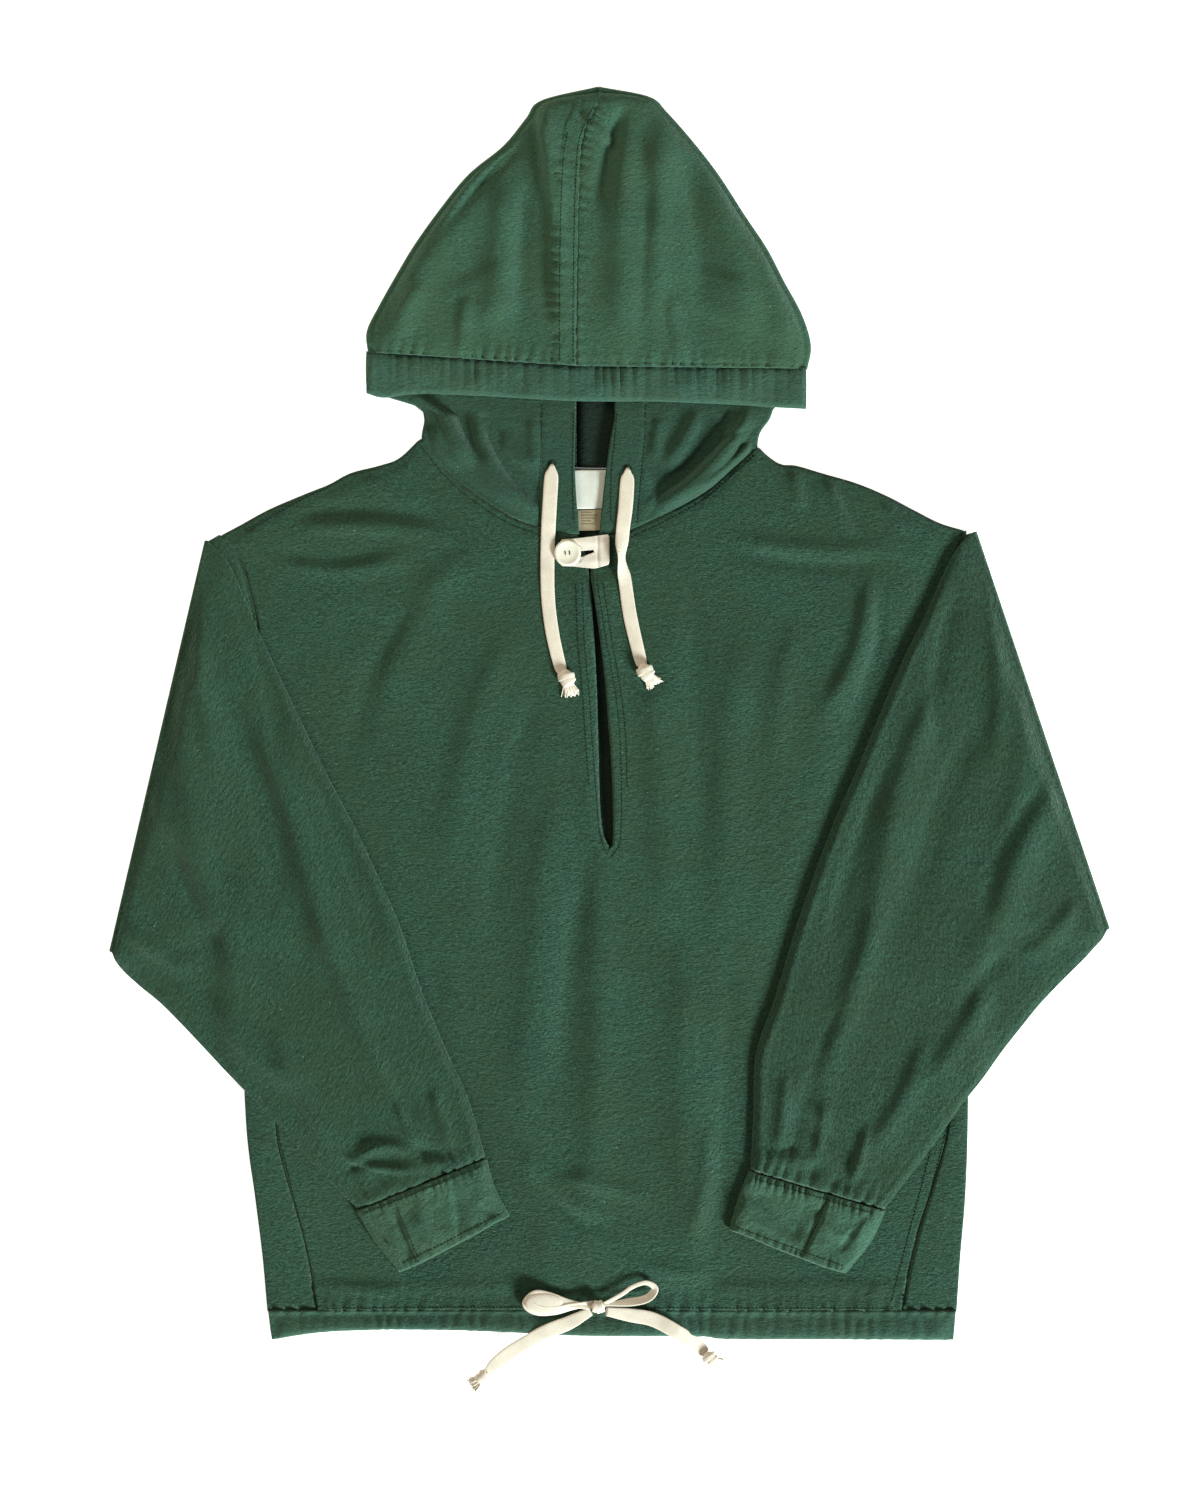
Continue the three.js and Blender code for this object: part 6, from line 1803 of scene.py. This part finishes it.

# %% [markdown]
# Every piece now gets its finish and the part it belongs to.

# %% Finishes and the parts they belong to
finishes = [
    ("brushed_cotton", body_cloth, [front_panel, back_panel]),
    ("brushed_cotton", sleeve_cloth["left"], [sleeve_pieces["left"]]),
    ("brushed_cotton", sleeve_cloth["right"], [sleeve_pieces["right"]]),
    ("brushed_cotton", hood_cloth, list(hood_pieces.values())),
    ("brushed_cotton", neck_cloth, list(neck_pieces.values())),
    ("hem_cotton", hem_cloth, [hem_channel, hood_hem]),
    ("hem_cotton", cuff_cloth, list(cuff_pieces.values())),
    ("cotton_tape", cotton_tape, list(cord_pieces.values()) + list(cord_knots.values()) + list(cord_tufts.values()) + bow_loops + [bow_knot]),
    ("cotton_tape", tab_tape, [tab_upper]),
    ("label_tape", white_label, [neck_label]),
    ("label_tape", tan_label, [size_label]),
    ("label_tape", ruled_ink, [label_lines]),
    ("button", button_ivory, [button]),
    ("button", dark_thread, [button_thread]),
    ("brushed_cotton", sewing_thread, eyelets + [piece for name, piece in stitch_pieces.items() if "cuff" not in name and "hem" not in name]),
    ("hem_cotton", sewing_thread, [piece for name, piece in stitch_pieces.items() if "cuff" in name or "hem" in name]),
]
for slot_name, material, pieces in finishes:
    for piece in pieces:
        piece.data.materials.clear()
        piece.data.materials.append(material)
        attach(piece, "root")

# %% [markdown]
# Each cloth piece's span and its own cloth area are printed. Tubes count all the way round.
# The pattern pieces aren't rectangles, so their own area is given beside their span.


# Painted shade: where the inside of the back shows through the slit and the neck opening, it gets a much darker copy of
# the cloth. The dark colour stands for the shade in that deep hollow under the hood and the slit.
inside_painted_shade = cloth_material("inside_of_the_back_painted_shade", (22, 37, 29), nap=0.6, sheen=0.1)
back_panel.data.materials.append(inside_painted_shade)
painted_shade_low, painted_shade_high = metres(-60, -125, 0), metres(50, 230, 0)
for face in back_panel.data.polygons:
    spot = face.center
    if painted_shade_low[0] < spot.x < painted_shade_high[0] and painted_shade_low[1] < spot.y < painted_shade_high[1]:
        face.material_index = 1
# The same painted shade goes on the back layers of the hood's lower sides, which show between the front bands.
for piece in neck_pieces.values():
    piece.data.materials.append(inside_painted_shade)
    for face in piece.data.polygons:
        if face.center.z < 0.0008:
            face.material_index = 1


def cloth_area(piece):
    """Half of the surface of a closed shell, which is the cloth's own area."""
    seen = piece.evaluated_get(bpy.context.evaluated_depsgraph_get())
    return sum(face.area for face in seen.data.polygons) / 2


cloth_pieces = [front_panel, back_panel, hem_channel, hood_hem, neck_label, size_label, tab_upper]
cloth_pieces += list(sleeve_pieces.values()) + list(cuff_pieces.values()) + list(hood_pieces.values()) + list(neck_pieces.values())
for piece in cloth_pieces:
    span = [round(v * 1000) for v in piece.dimensions]
    print(piece.name, "spans", span, "mm, cloth", round(cloth_area(piece), 4), "square metres")

# %% [markdown]
# The table is a pale seamless sheet of card. The light is soft and even, as in a small studio: one big panel from
# above and to the right, which gives the folds their shadow side, and a weak fill from the left.

# %% Floor, lights and view
floor_low = min(corner[2] for corner in (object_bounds()[0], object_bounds()[1])) - 0.0006
floor_points = [(-30, -30, floor_low), (30, -30, floor_low), (30, 30, floor_low), (-30, 30, floor_low)]
floor = new_object("floor", floor_points, [(0, 1, 2, 3)], smooth=False)
floor_material, start = new_material("pale_card")
where = start.node("ShaderNodeTexCoord", None, None, out=3)
tone = noise(start, where, 3.0, 2.0, 0.5)
card = tone.tint(shade_of(246, 246, 245), shade_of(250, 250, 250))
glow = {"Emission Color": card, "Emission Strength": 0.8}
finish_material(start, {"Base Color": card, "Roughness": 0.9, "Specular IOR Level": 0.1, **glow})
floor.data.materials.append(floor_material)
floor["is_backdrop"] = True


def area_light(name, place, target, size, power, colour=(1, 1, 1)):
    lamp = bpy.data.lights.new(name, "AREA")
    lamp.shape = "RECTANGLE"
    lamp.size, lamp.size_y = size
    lamp.energy = power
    lamp.color = colour
    piece = bpy.data.objects.new(name, lamp)
    piece.location = place
    piece.rotation_mode = "QUATERNION"
    piece.rotation_quaternion = (Vector(target) - Vector(place)).to_track_quat("-Z", "Y")
    bpy.context.collection.objects.link(piece)
    return piece


area_light("key", (4.0, -4.8, 2.2), (0, 0, 0), (1.8, 1.3), 1080, (0.86, 1.0, 1.0))
area_light("fill", (-1.8, 1.5, 1.1), (0, 0, 0), (1.2, 0.8), 32, (1.0, 0.92, 0.70))
world = bpy.data.worlds.new("studio")
bpy.context.scene.world = world
world.use_nodes = True
world.node_tree.nodes["Background"].inputs["Color"].default_value = (1.0, 0.955, 0.84, 1)
world.node_tree.nodes["Background"].inputs["Strength"].default_value = 0.27
bpy.context.scene.view_settings.view_transform = "Standard"
